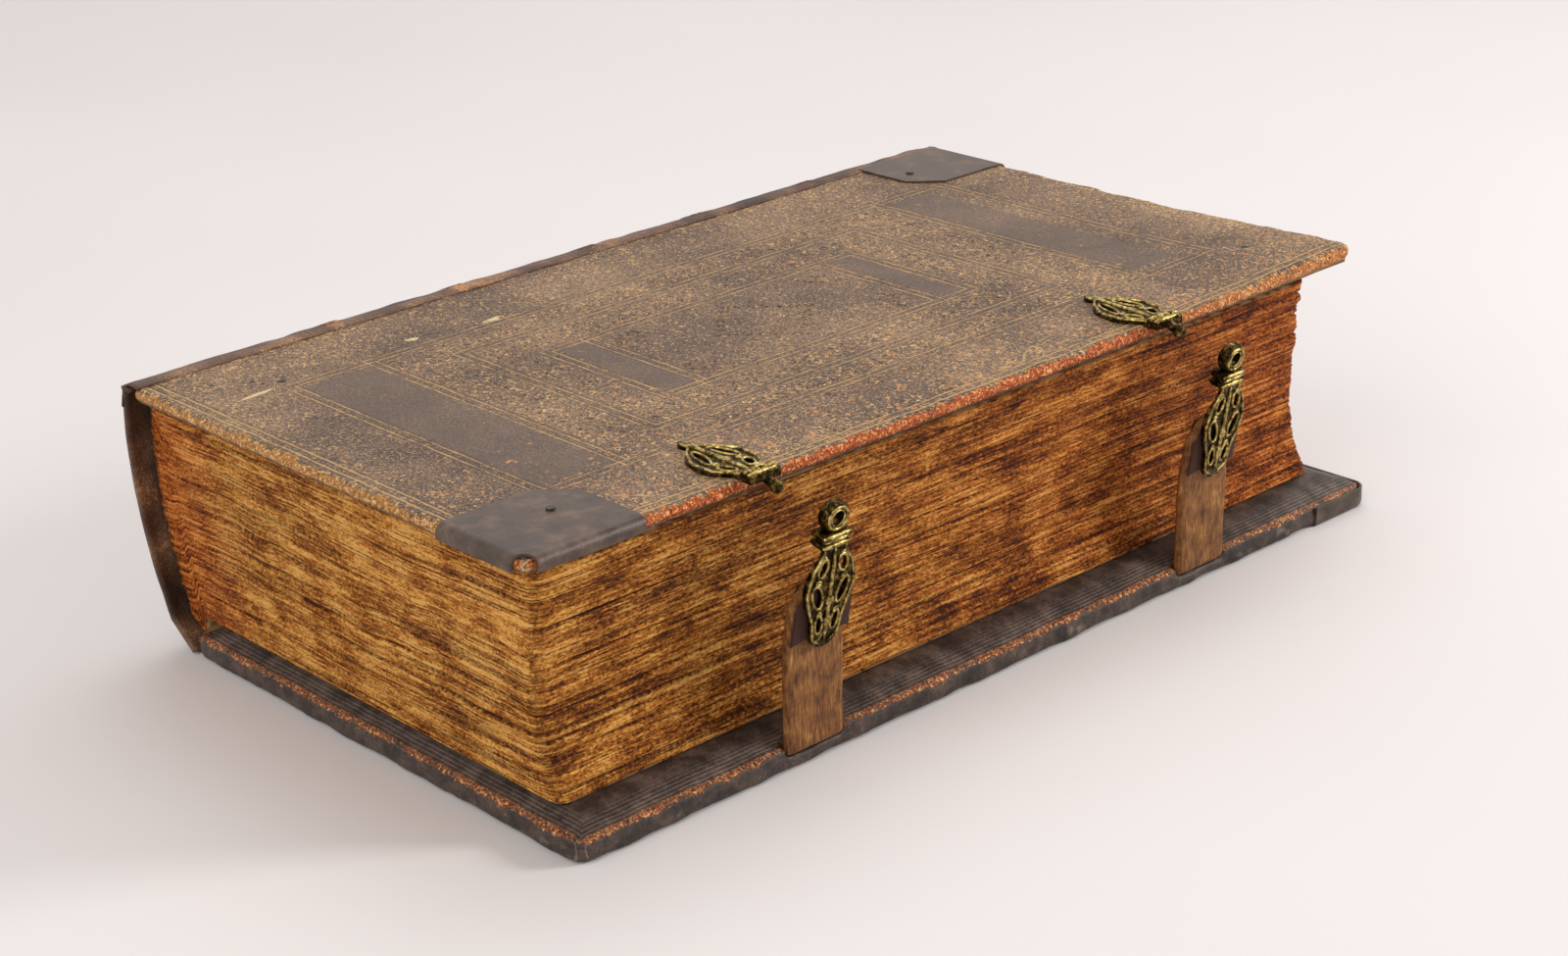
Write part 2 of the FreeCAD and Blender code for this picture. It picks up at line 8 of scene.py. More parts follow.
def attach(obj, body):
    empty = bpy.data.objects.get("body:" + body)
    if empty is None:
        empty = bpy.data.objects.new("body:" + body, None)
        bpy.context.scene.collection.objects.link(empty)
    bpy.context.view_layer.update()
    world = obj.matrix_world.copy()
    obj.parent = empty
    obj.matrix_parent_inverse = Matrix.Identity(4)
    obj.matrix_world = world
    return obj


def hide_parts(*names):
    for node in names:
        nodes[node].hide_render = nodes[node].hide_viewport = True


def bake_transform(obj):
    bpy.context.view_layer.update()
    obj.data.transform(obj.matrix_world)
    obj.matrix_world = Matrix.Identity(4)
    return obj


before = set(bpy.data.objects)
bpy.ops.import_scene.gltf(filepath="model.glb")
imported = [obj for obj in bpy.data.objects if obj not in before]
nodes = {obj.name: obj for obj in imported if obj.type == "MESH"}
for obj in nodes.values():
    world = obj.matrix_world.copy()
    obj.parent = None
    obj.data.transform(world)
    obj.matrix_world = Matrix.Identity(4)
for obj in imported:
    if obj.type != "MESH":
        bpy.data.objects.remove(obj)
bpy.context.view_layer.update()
mm = 0.001
print("frame loaded: %d nodes" % len(nodes))


# small tools

def hexColour(text):
    # sRGB hex to the linear colour that the shaders take
    values = [int(text[i:i + 2], 16) / 255 for i in (1, 3, 5)]
    return [v / 12.92 if v <= 0.04045 else ((v + 0.055) / 1.055) ** 2.4 for v in values] + [1.0]


def addNode(tree, kind, inputs=(), out=None, stops=None, **settings):
    # adds one node, sets it, links or fills its inputs and gives back one output
    node = tree.nodes.new(kind)
    for key, value in settings.items():
        setattr(node, key, value)
    pairs = inputs.items() if isinstance(inputs, dict) else enumerate(inputs)
    for key, value in pairs:
        if isinstance(value, bpy.types.NodeSocket):
            tree.links.new(value, node.inputs[key])
        elif isinstance(value, str) and value.startswith("#"):
            node.inputs[key].default_value = hexColour(value)
        elif value is not None:
            node.inputs[key].default_value = value
    if stops:
        ramp = node.color_ramp
        while len(ramp.elements) < len(stops):
            ramp.elements.new(0.5)
        for element, (place, colour) in zip(ramp.elements, stops):
            element.position = place
            element.color = hexColour(colour)
    if out is not None:
        return node.outputs[out]
    return next((s for s in node.outputs if s.enabled), None)


def weighted(tree, start, *parts):
    # the start plus every part times its weight
    for part, weight in parts:
        start = addNode(tree, "ShaderNodeMath", (part, weight, start), operation="MULTIPLY_ADD")
    return start


def distanceFrom(tree, value, *places):
    # how far a value lies from a place, then from lines at that distance on both sides, and so on
    for place in places:
        value = addNode(tree, "ShaderNodeMath", (value, place), operation="SUBTRACT")
        value = addNode(tree, "ShaderNodeMath", (value,), operation="ABSOLUTE")
    return value


def newMaterial(name):
    material = bpy.data.materials.new(name)
    material.use_nodes = True
    material.node_tree.nodes.clear()
    return material, material.node_tree


def closeMaterial(tree, shader):
    addNode(tree, "ShaderNodeOutputMaterial", {"Surface": shader})


def meshPiece(name, points, faces, material, weld=0.0):
    mesh = bpy.data.meshes.new(name)
    mesh.from_pydata([tuple(p) for p in points], [], faces)
    if weld > 0:
        work = bmesh.new()
        work.from_mesh(mesh)
        bmesh.ops.remove_doubles(work, verts=work.verts, dist=weld)
        bmesh.ops.recalc_face_normals(work, faces=work.faces)
        work.to_mesh(mesh)
        work.free()
    mesh.materials.append(material)
    mesh.polygons.foreach_set("use_smooth", [True] * len(mesh.polygons))
    piece = bpy.data.objects.new(name, mesh)
    bpy.context.scene.collection.objects.link(piece)
    return piece


def gridFaces(rows, cols, first=0, ringCols=False):
    faces = []
    for r in range(rows - 1):
        for c in range(cols if ringCols else cols - 1):
            d = (c + 1) % cols
            faces.append((first + r * cols + c, first + r * cols + d,
                          first + (r + 1) * cols + d, first + (r + 1) * cols + c))
    return faces


def getPoints(piece):
    data = np.empty(len(piece.data.vertices) * 3)
    piece.data.vertices.foreach_get("co", data)
    return data.reshape(-1, 3)


def setPoints(piece, points):
    piece.data.vertices.foreach_set("co", np.asarray(points).ravel())
    piece.data.update()


def setPiece(piece, body, slot, *replaced):
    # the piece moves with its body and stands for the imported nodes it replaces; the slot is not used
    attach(piece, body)
    if replaced:
        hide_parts(*replaced)


def thicken(piece, thickness, offset):
    sheet = piece.modifiers.new("thickness", "SOLIDIFY")
    sheet.thickness = thickness * mm
    sheet.offset = offset
    return applyModifiers(piece)


def ease(low, high, value):
    t = np.clip((value - low) / (high - low), 0, 1)
    return t * t * (3 - 2 * t)


def softNoise(points, seed=0):
    # smooth value noise from -1 to 1; one unit is one lump
    points = np.asarray(points, float)
    cell = np.floor(points).astype(np.int64)
    part = points - cell
    part = part * part * (3 - 2 * part)
    total = np.zeros(len(points))
    for corner in range(8):
        offset = np.array([corner & 1, (corner >> 1) & 1, (corner >> 2) & 1])
        spot = cell + offset
        mix = (spot[:, 0] * 73856093) ^ (spot[:, 1] * 19349663) ^ (spot[:, 2] * 83492791)
        mix = mix ^ (seed * 2654435761)
        mix = (mix ^ (mix >> 13)) * 1274126177
        value = ((mix ^ (mix >> 16)) & 65535) / 32767.5 - 1
        weight = np.prod(np.where(offset, part, 1 - part), axis=1)
        total += value * weight
    return total


def applyModifiers(piece):
    # the evaluated shape becomes the piece's own mesh
    bpy.context.view_layer.update()
    shaped = bpy.data.meshes.new_from_object(piece.evaluated_get(bpy.context.evaluated_depsgraph_get()))
    old = piece.data
    piece.modifiers.clear()
    piece.data = shaped
    bpy.data.meshes.remove(old)
    return piece


# the book's own sizes, in millimetres

book = {
    "coverLength": 383.0, "coverWidth": 217.0, "lowerThickness": 12.2, "lowerEdge": 8.2,
    "upperThickness": 9.2, "upperEdge": 4.6,
    "bevelWidth": 12.0, "upperShift": 12.3, "blockLow": 12.5, "blockHeight": 82.2, "totalHeight": 104.2,
    "cornerRound": 6.0,
}
backEdge = -book["coverWidth"] / 2
foreEdge = book["coverWidth"] / 2
topFace = book["totalHeight"]


# camera, as the photograph was taken

camera = {
    "position": (711.2, -638.05, 426.2), "azimuth": 48.4456, "elevation": 22.0478, "roll": -2.4715,
    "focal": 65.53,
}


def placeCamera():
    azimuth, elevation, roll = [math.radians(camera[k]) for k in ("azimuth", "elevation", "roll")]
    back = Vector((math.sin(azimuth) * math.cos(elevation), -math.cos(azimuth) * math.cos(elevation),
                   math.sin(elevation)))
    right = Vector((math.cos(azimuth), math.sin(azimuth), 0))
    up = back.cross(right)
    turnedRight = right * math.cos(roll) + up * math.sin(roll)
    turnedUp = up * math.cos(roll) - right * math.sin(roll)
    data = bpy.data.cameras.new("photoCamera")
    data.lens = camera["focal"]
    data.sensor_width = 36
    data.clip_start = 0.01
    cameraObject = bpy.data.objects.new("photoCamera", data)
    turn = Matrix((turnedRight, turnedUp, back)).transposed().to_4x4()
    cameraObject.matrix_world = Matrix.Translation(Vector(camera["position"]) * mm) @ turn
    bpy.context.scene.collection.objects.link(cameraObject)
    bpy.context.scene.camera = cameraObject


placeCamera()
print("camera set")


# floor, backdrop and studio lamps

studio = {
    "floorColour": "#ece7e5", "backdropColour": "#f0ebea", "worldStrength": 0.55,
    "lamps": (
        # name, where it stands, what it looks at, its size in metres, its power
        ("keyLamp", (1.25, 1.35, 0.85), (0.05, 0.0, 0.05), 0.5, 21.5),
        ("fillLamp", (0.35, -1.9, 1.3), (0.0, 0.0, 0.04), 1.6, 17.0),
        ("topLamp", (-0.5, 0.5, 1.9), (0.0, 0.0, 0.05), 1.6, 12.5),
    ),
}


def setStudio():
    world = bpy.data.worlds.new("paleStudio")
    bpy.context.scene.world = world
    world.use_nodes = True
    tree = world.node_tree
    tree.nodes.clear()
    seen = addNode(tree, "ShaderNodeLightPath", out="Is Camera Ray")
    glossy = addNode(tree, "ShaderNodeLightPath", out="Is Glossy Ray")
    through = addNode(tree, "ShaderNodeLightPath", out="Is Transmission Ray")
    either = addNode(tree, "ShaderNodeMath", (seen, glossy), operation="ADD")
    either = addNode(tree, "ShaderNodeMath", (either, through), operation="ADD", use_clamp=True)
    plain = addNode(tree, "ShaderNodeBackground",
                    {"Color": "#f4f1f0", "Strength": studio["worldStrength"]})
    shown = addNode(tree, "ShaderNodeBackground", {"Color": studio["backdropColour"], "Strength": 1.0})
    mixed = addNode(tree, "ShaderNodeMixShader", (either, plain, shown))
    addNode(tree, "ShaderNodeOutputWorld", {"Surface": mixed})
    for name, place, target, size, power in studio["lamps"]:
        data = bpy.data.lights.new(name, "AREA")
        data.shape = "SQUARE"
        data.size = size
        data.energy = power
        lamp = bpy.data.objects.new(name, data)
        lamp.location = place
        lamp.rotation_euler = (Vector(target) - Vector(place)).to_track_quat("-Z", "Y").to_euler()
        bpy.context.scene.collection.objects.link(lamp)
    material, tree = newMaterial("paleFloor")
    where = addNode(tree, "ShaderNodeTexCoord", out="Object")
    mottle = addNode(tree, "ShaderNodeTexNoise", {"Vector": where, "Scale": 3.0, "Detail": 2.0})
    colour = addNode(tree, "ShaderNodeValToRGB",
                     (mottle,), stops=((0.3, "#e9e3e1"), (0.7, studio["floorColour"])))
    shader = addNode(tree, "ShaderNodeBsdfPrincipled",
                     {"Base Color": colour, "Roughness": 0.9, "Specular IOR Level": 0.1})
    closeMaterial(tree, shader)
    reach = 6.0
    corners = [(-reach, -reach, 0), (reach, -reach, 0), (reach, reach, 0), (-reach, reach, 0)]
    floor = meshPiece("floor", corners, [(0, 1, 2, 3)], material)


setStudio()
print("studio set")


# materials

def objectMillimetres(tree):
    # the piece's own coordinates in millimetres, and their three parts
    where = addNode(tree, "ShaderNodeTexCoord", out="Object")
    scaled = addNode(tree, "ShaderNodeVectorMath", {0: where, 3: 1000.0}, operation="SCALE")
    split = tree.nodes.new("ShaderNodeSeparateXYZ")
    tree.links.new(scaled, split.inputs[0])
    return scaled, split.outputs[0], split.outputs[1], split.outputs[2]


def rectangleDistance(tree, x, y, rectangle):
    # negative inside the rectangle, positive outside, in millimetres
    x0, x1, y0, y1 = rectangle
    sides = []
    for value, low, high in ((x, x0, x1), (y, y0, y1)):
        offset = distanceFrom(tree, value, (low + high) / 2)
        sides.append(addNode(tree, "ShaderNodeMath", (offset, (high - low) / 2), operation="SUBTRACT"))
    return addNode(tree, "ShaderNodeMath", tuple(sides), operation="MAXIMUM")


# Vegetable-tanned calf over boards, blind tooled and rubbed: a grey-brown waxed face with fine golden flecks
# where the grain is rubbed through, and rust-coloured raw leather along the edges.
calf = {
    "low": "#251810", "middle": "#644b37", "high": "#ab8a68", "fleck": "#c08240", "fleckPale": "#f4d294",
    "panel": "#5d4d42", "grainSize": 0.8, "fleckSize": 1.5, "patchSize": 6.0, "cloudSize": 40.0,
    "lineWidth": 0.5, "lineGap": 1.6,
}
# tooled frames of the upper cover: x0, x1, y0, y1 of the middle between their two lines
upperFrames = (
    (-67.0, 70.5, -166.6, 105.8),
    (-67.0, 70.5, -134.2, 105.8),
    (-49.8, 54.3, -109.0, 77.5),
    (-29.0, 34.3, -87.8, 56.0),
    (-29.0, 34.3, -70.3, 39.3),
    (-67.0, 70.5, 105.8, 141.8),
    (-112.0, 103.2, -197.6, 190.0),
)
# plain dark panels between them
upperPanels = (
    (-62.5, 66.5, -164.3, -137.3),
    (-26.5, 31.5, -84.3, -72.3),
    (-26.5, 31.5, 42.8, 52.8),
    (-62.5, 64.0, 108.5, 131.0),
)
# bands between the frames, worked all over with a small roll tool
upperBands = (
    (-65.0, -52.0, -131.0, 103.0), (57.0, 68.0, -131.0, 103.0), (-52.0, 57.0, -131.0, -112.0),
    (-52.0, 57.0, 81.0, 103.0), (-46.0, -32.0, -105.0, 74.0), (38.0, 51.0, -105.0, 74.0),
    (-32.0, 38.0, -105.0, -91.0), (-32.0, 38.0, 60.0, 74.0),
)


def tooledCalf(name, centre, half, frames, panels, bands, holes=(), chips=()):
    material, tree = newMaterial(name)
    place, x, y, z = objectMillimetres(tree)
    clouds, grain, speck, patch = [
        addNode(tree, "ShaderNodeTexNoise",
                {"Vector": place, "Scale": 1 / size, "Detail": detail, "Roughness": rough, "Distortion": bent})
        for size, detail, rough, bent in (
            (calf["cloudSize"], 4.0, 0.6, 0.0), (calf["grainSize"], 3.0, 0.7, 0.0),
            (calf["fleckSize"], 3.0, 0.7, 0.6), (calf["patchSize"], 4.0, 0.7, 0.0),
        )
    ]
    # how near the open edges, in millimetres, made uneven by the patches; the spine side has none
    rect = (-400.0, centre[0] + half[0], centre[1] - half[1], centre[1] + half[1])
    edge = rectangleDistance(tree, x, y, rect)
    uneven = weighted(tree, -4.0, (patch, 8.0))
    ragged = addNode(tree, "ShaderNodeMath", (edge, uneven), operation="ADD")
    rim = addNode(tree, "ShaderNodeMapRange", {0: ragged, 1: -2.3, 2: -1.3})
    nearRim = addNode(tree, "ShaderNodeMapRange", {0: ragged, 1: -20.0, 2: -3.0})
    # ground colour
    ground = weighted(tree, 0.125, (clouds, 0.3), (grain, 1.0))
    colour = addNode(tree, "ShaderNodeValToRGB", (ground,),
                     stops=((0.66, calf["low"]), (0.77, calf["middle"]), (0.9, calf["high"])))
    # plain panels stay darker, roll-tooled bands are rubbed brighter
    masks = []
    for rectangles in (panels, bands):
        mask = None
        for rectangle in rectangles:
            inside = rectangleDistance(tree, x, y, rectangle)
            inside = addNode(tree, "ShaderNodeMapRange", {0: inside, 1: 0.6, 2: -0.6})
            mask = inside if mask is None else addNode(
                tree, "ShaderNodeMath", (mask, inside), operation="MAXIMUM")
        masks.append(mask)
    inPanel, inBand = masks
    strength = addNode(tree, "ShaderNodeMath", (inPanel, 0.55), operation="MULTIPLY")
    colour = addNode(tree, "ShaderNodeMix", {0: strength, 6: colour, 7: calf["panel"]}, data_type="RGBA")
    # golden flecks where the grain is rubbed through: more toward the fore-edge and the rims
    foreSide = addNode(tree, "ShaderNodeMapRange", {0: x, 1: 20.0, 2: 108.0})
    spineSide = addNode(tree, "ShaderNodeMapRange", {0: x, 1: -72.0, 2: -106.0})
    level = weighted(tree, speck, (clouds, 0.12), (foreSide, 0.035), (spineSide, 0.045), (nearRim, 0.05),
                     (inBand, 0.03), (inPanel, -0.07))
    flecks = addNode(tree, "ShaderNodeMapRange", {0: level, 1: 0.655, 2: 0.685})
    fleckColour = addNode(tree, "ShaderNodeValToRGB", (grain,),
                          stops=((0.4, calf["fleck"]), (0.62, calf["fleckPale"])))
    shown = addNode(tree, "ShaderNodeMath", (flecks, 0.8), operation="MULTIPLY")
    colour = addNode(tree, "ShaderNodeMix", {0: shown, 6: colour, 7: fleckColour}, data_type="RGBA")
    # flakes of raw leather toward the fore-edge
    flakes = weighted(tree, patch, (foreSide, 0.12), (speck, 0.5))
    flakes = addNode(tree, "ShaderNodeMapRange", {0: flakes, 1: 0.975, 2: 1.0})
    colour = addNode(tree, "ShaderNodeMix", {0: flakes, 6: colour, 7: "#c98a55"}, data_type="RGBA")
    # lines of the fillets
    height = addNode(tree, "ShaderNodeMath", (grain, 0.5), operation="MULTIPLY")
    nearest = None
    for frameBox in frames:
        away = rectangleDistance(tree, x, y, frameBox)
        away = distanceFrom(tree, away, 0.0, calf["lineGap"])
        nearest = away if nearest is None else addNode(
            tree, "ShaderNodeMath", (nearest, away), operation="MINIMUM")
    line = addNode(tree, "ShaderNodeMapRange", {0: nearest, 1: calf["lineWidth"] * 1.2, 2: 0.15})
    worn = weighted(tree, patch, (nearRim, 0.12))
    worn = addNode(tree, "ShaderNodeMapRange", {0: worn, 1: 0.38, 2: 0.58, 3: 0.12, 4: 0.85})
    lineShown = addNode(tree, "ShaderNodeMath", (line, worn), operation="MULTIPLY")
    colour = addNode(tree, "ShaderNodeMix", {0: lineShown, 6: colour, 7: "#d0a66c"}, data_type="RGBA")
    beside = distanceFrom(tree, nearest, 0.95)
    beside = addNode(tree, "ShaderNodeMapRange", {0: beside, 1: 0.5, 2: 0.0, 3: 0.0, 4: 0.55})
    colour = addNode(tree, "ShaderNodeMix", {0: beside, 6: colour, 7: "#3b2c23"}, data_type="RGBA")
    height = weighted(tree, height, (line, -1.0))
    # raw edge, redder on the fore-edge, golden on the others and dark under the roll of the leather
    foreRim = addNode(tree, "ShaderNodeMapRange",
                      {0: x, 1: centre[0] + half[0] - 10, 2: centre[0] + half[0] - 3})
    headSide = addNode(tree, "ShaderNodeMapRange", {0: y, 1: 60.0, 2: 110.0, 3: 1.0, 4: 0.45})
    foreRim = addNode(tree, "ShaderNodeMath", (foreRim, headSide), operation="MULTIPLY")
    rawTone = weighted(tree, grain, (speck, 0.8))
    redRaw = addNode(tree, "ShaderNodeValToRGB", (rawTone,),
                     stops=((0.68, "#4f1c08"), (0.84, "#a3430f"), (1.0, "#cf6a24"), (1.15, "#f3b273")))
    goldRaw = addNode(tree, "ShaderNodeValToRGB", (rawTone,),
                      stops=((0.66, "#6a3a14"), (0.82, "#a96f33"), (1.0, "#cf9650"), (1.15, "#f2cd94")))
    raw = addNode(tree, "ShaderNodeMix", {0: foreRim, 6: goldRaw, 7: redRaw}, data_type="RGBA")
    under = weighted(tree, z, (patch, 3.0))
    under = addNode(tree, "ShaderNodeMapRange",
                    {0: under, 1: topFace - 1.0, 2: topFace - 2.4, 3: 0.0, 4: 0.8})
    raw = addNode(tree, "ShaderNodeMix", {0: under, 6: raw, 7: "#3a241b"}, data_type="RGBA")
    colour = addNode(tree, "ShaderNodeMix", {0: rim, 6: colour, 7: raw}, data_type="RGBA")
    inner = addNode(tree, "ShaderNodeMapRange", {0: z, 1: topFace - 5.0, 2: topFace - 5.6})
    colour = addNode(tree, "ShaderNodeMix", {0: inner, 6: colour, 7: "#4a392e"}, data_type="RGBA")
    # old nail holes
    for spot, radius in holes:
        away = addNode(tree, "ShaderNodeCombineXYZ", (x, y, 0.0))
        away = addNode(tree, "ShaderNodeVectorMath",
                       (away, (spot[0], spot[1], 0.0)), operation="DISTANCE",
                       out="Value")
        dark = addNode(tree, "ShaderNodeMapRange", {0: away, 1: radius, 2: radius * 0.7})
        colour = addNode(tree, "ShaderNodeMix", {0: dark, 6: colour, 7: "#160d08"}, data_type="RGBA")
        height = weighted(tree, height, (dark, -3.0))
    # pale chips and scratches: place, half length, half width, turn in degrees
    for (cx, cy), longHalf, wideHalf, turn in chips:
        shift = addNode(tree, "ShaderNodeVectorMath", (place, (cx, cy, 0.0)), operation="SUBTRACT")
        turned = addNode(tree, "ShaderNodeVectorRotate", {"Vector": shift, "Angle": math.radians(-turn)})
        squeezed = addNode(tree, "ShaderNodeVectorMath", (turned, (1 / longHalf, 1 / wideHalf, 0.0)),
                           operation="MULTIPLY")
        length = addNode(tree, "ShaderNodeVectorMath", (squeezed,), operation="LENGTH", out="Value")
        frayed = weighted(tree, length, (speck, 2.6))
        pale = addNode(tree, "ShaderNodeMapRange", {0: frayed, 1: 2.15, 2: 2.0})
        colour = addNode(tree, "ShaderNodeMix", {0: pale, 6: colour, 7: "#dcc08c"}, data_type="RGBA")
    rough = addNode(tree, "ShaderNodeMapRange", {0: grain, 1: 0.3, 2: 0.7, 3: 0.44, 4: 0.66})
    rough = addNode(tree, "ShaderNodeMath", (rim, 0.2, rough), operation="MULTIPLY_ADD", use_clamp=True)
    height = weighted(tree, height, (patch, 0.6), (flecks, -0.3), (rim, rawTone))
    bump = addNode(tree, "ShaderNodeBump", {"Height": height, "Strength": 0.75, "Distance": 0.0007})
    shader = addNode(tree, "ShaderNodeBsdfPrincipled",
                     {"Base Color": colour, "Roughness": rough, "Normal": bump, "Specular IOR Level": 0.4})
    closeMaterial(tree, shader)
    return material


upperCentre = (0.0, -book["upperShift"])
coverHalf = (book["coverWidth"] / 2, book["coverLength"] / 2)
upperCalf = tooledCalf("tooledCalfUpper", upperCentre, coverHalf, upperFrames, upperPanels, upperBands,
                       holes=(((-73.0, -165.5), 1.6), ((-76.0, -171.0), 0.9), ((-87.5, -184.0), 0.8),
                              ((-80.0, -172.5), 1.0), ((79.5, 151.4), 1.5)),
                       chips=(((-68.5, -178.5), 9.5, 1.3, 97.0), ((-75.0, -110.8), 3.2, 1.5, 80.0),
                              ((-70.5, -78.8), 5.0, 2.2, 95.0)))


# Inside turn-ins of the lower cover: the same calf, unpolished, nearly charcoal, with faint tooled streaks
def turnInCalf(name, centre, half):
    material, tree = newMaterial(name)
    place, x, y, z = objectMillimetres(tree)
    grain, patch, speck = [
        addNode(tree, "ShaderNodeTexNoise",
                {"Vector": place, "Scale": 1 / size, "Detail": detail, "Roughness": rough})
        for size, detail, rough in ((0.9, 3.0, 0.6), (9.0, 5.0, 0.7), (1.3, 4.0, 0.75))
    ]
    edge = rectangleDistance(tree, x, y, (centre[0] - half[0], centre[0] + half[0],
                                          centre[1] - half[1], centre[1] + half[1]))
    ground = weighted(tree, patch, (grain, 0.35))
    colour = addNode(tree, "ShaderNodeValToRGB", (ground,),
                     stops=((0.5, "#1d140f"), (0.66, "#3a2d26"), (0.84, "#5d4c42")))
    # streaks that run along the edge: lines at equal distances from it, broken by the patches
    waves = addNode(tree, "ShaderNodeMath", (edge, 4.6), operation="MULTIPLY")
    waves = addNode(tree, "ShaderNodeMath", (waves,), operation="SINE")
    ragged = weighted(tree, waves, (patch, 1.6))
    streak = addNode(tree, "ShaderNodeMapRange", {0: ragged, 1: 1.35, 2: 1.8, 3: 0.0, 4: 0.4})
    nearEdge = addNode(tree, "ShaderNodeMapRange", {0: edge, 1: -11.0, 2: -6.0})
    streak = addNode(tree, "ShaderNodeMath", (streak, nearEdge), operation="MULTIPLY")
    colour = addNode(tree, "ShaderNodeMix", {0: streak, 6: colour, 7: "#9b8a7c"}, data_type="RGBA")
    # worn rim where the leather turns over the board's edge, and the charcoal edge below it
    uneven = weighted(tree, -3.4, (speck, 4.0))
    rough1 = weighted(tree, uneven, (patch, 6.0))
    worn = addNode(tree, "ShaderNodeMath", (z, rough1), operation="ADD")
    onEdge = addNode(tree, "ShaderNodeMapRange", {0: edge, 1: -3.2, 2: -1.2})
    worn = addNode(tree, "ShaderNodeMapRange", {0: worn, 1: 8.7, 2: 9.5})
    worn = addNode(tree, "ShaderNodeMath", (worn, onEdge), operation="MULTIPLY")
    rawTone = weighted(tree, grain, (speck, 0.55))
    raw = addNode(tree, "ShaderNodeValToRGB", (rawTone,),
                  stops=((0.62, "#3f1808"), (0.74, "#8a4317"), (0.84, "#bf7434"), (0.96, "#efca92")))
    colour = addNode(tree, "ShaderNodeMix", {0: worn, 6: colour, 7: raw}, data_type="RGBA")
    height = weighted(tree, patch, (grain, 0.3), (streak, 0.5), (worn, rawTone))
    bump = addNode(tree, "ShaderNodeBump", {"Height": height, "Strength": 0.65, "Distance": 0.0006})
    shader = addNode(tree, "ShaderNodeBsdfPrincipled",
                     {"Base Color": colour, "Roughness": 0.58, "Normal": bump, "Specular IOR Level": 0.45})
    closeMaterial(tree, shader)
    return material


lowerCalf = turnInCalf("turnInCalfLower", (0.0, 0.0), coverHalf)


# Rag-paper leaves cut with a plough: hundreds of thin edges, darkened by handling. leafSpace holds the distance
# along the face and up through the leaves in millimetres, and 1 in its third part on the open pages.
leaves = {
    "dark": "#3a1606", "brown": "#824712", "gold": "#b47026", "light": "#e6ae5c", "line": "#2a0e04",
    "leafStep": 0.42, "streakLength": 7.0, "bundleStep": 1.5, "bundleLength": 55.0,
}


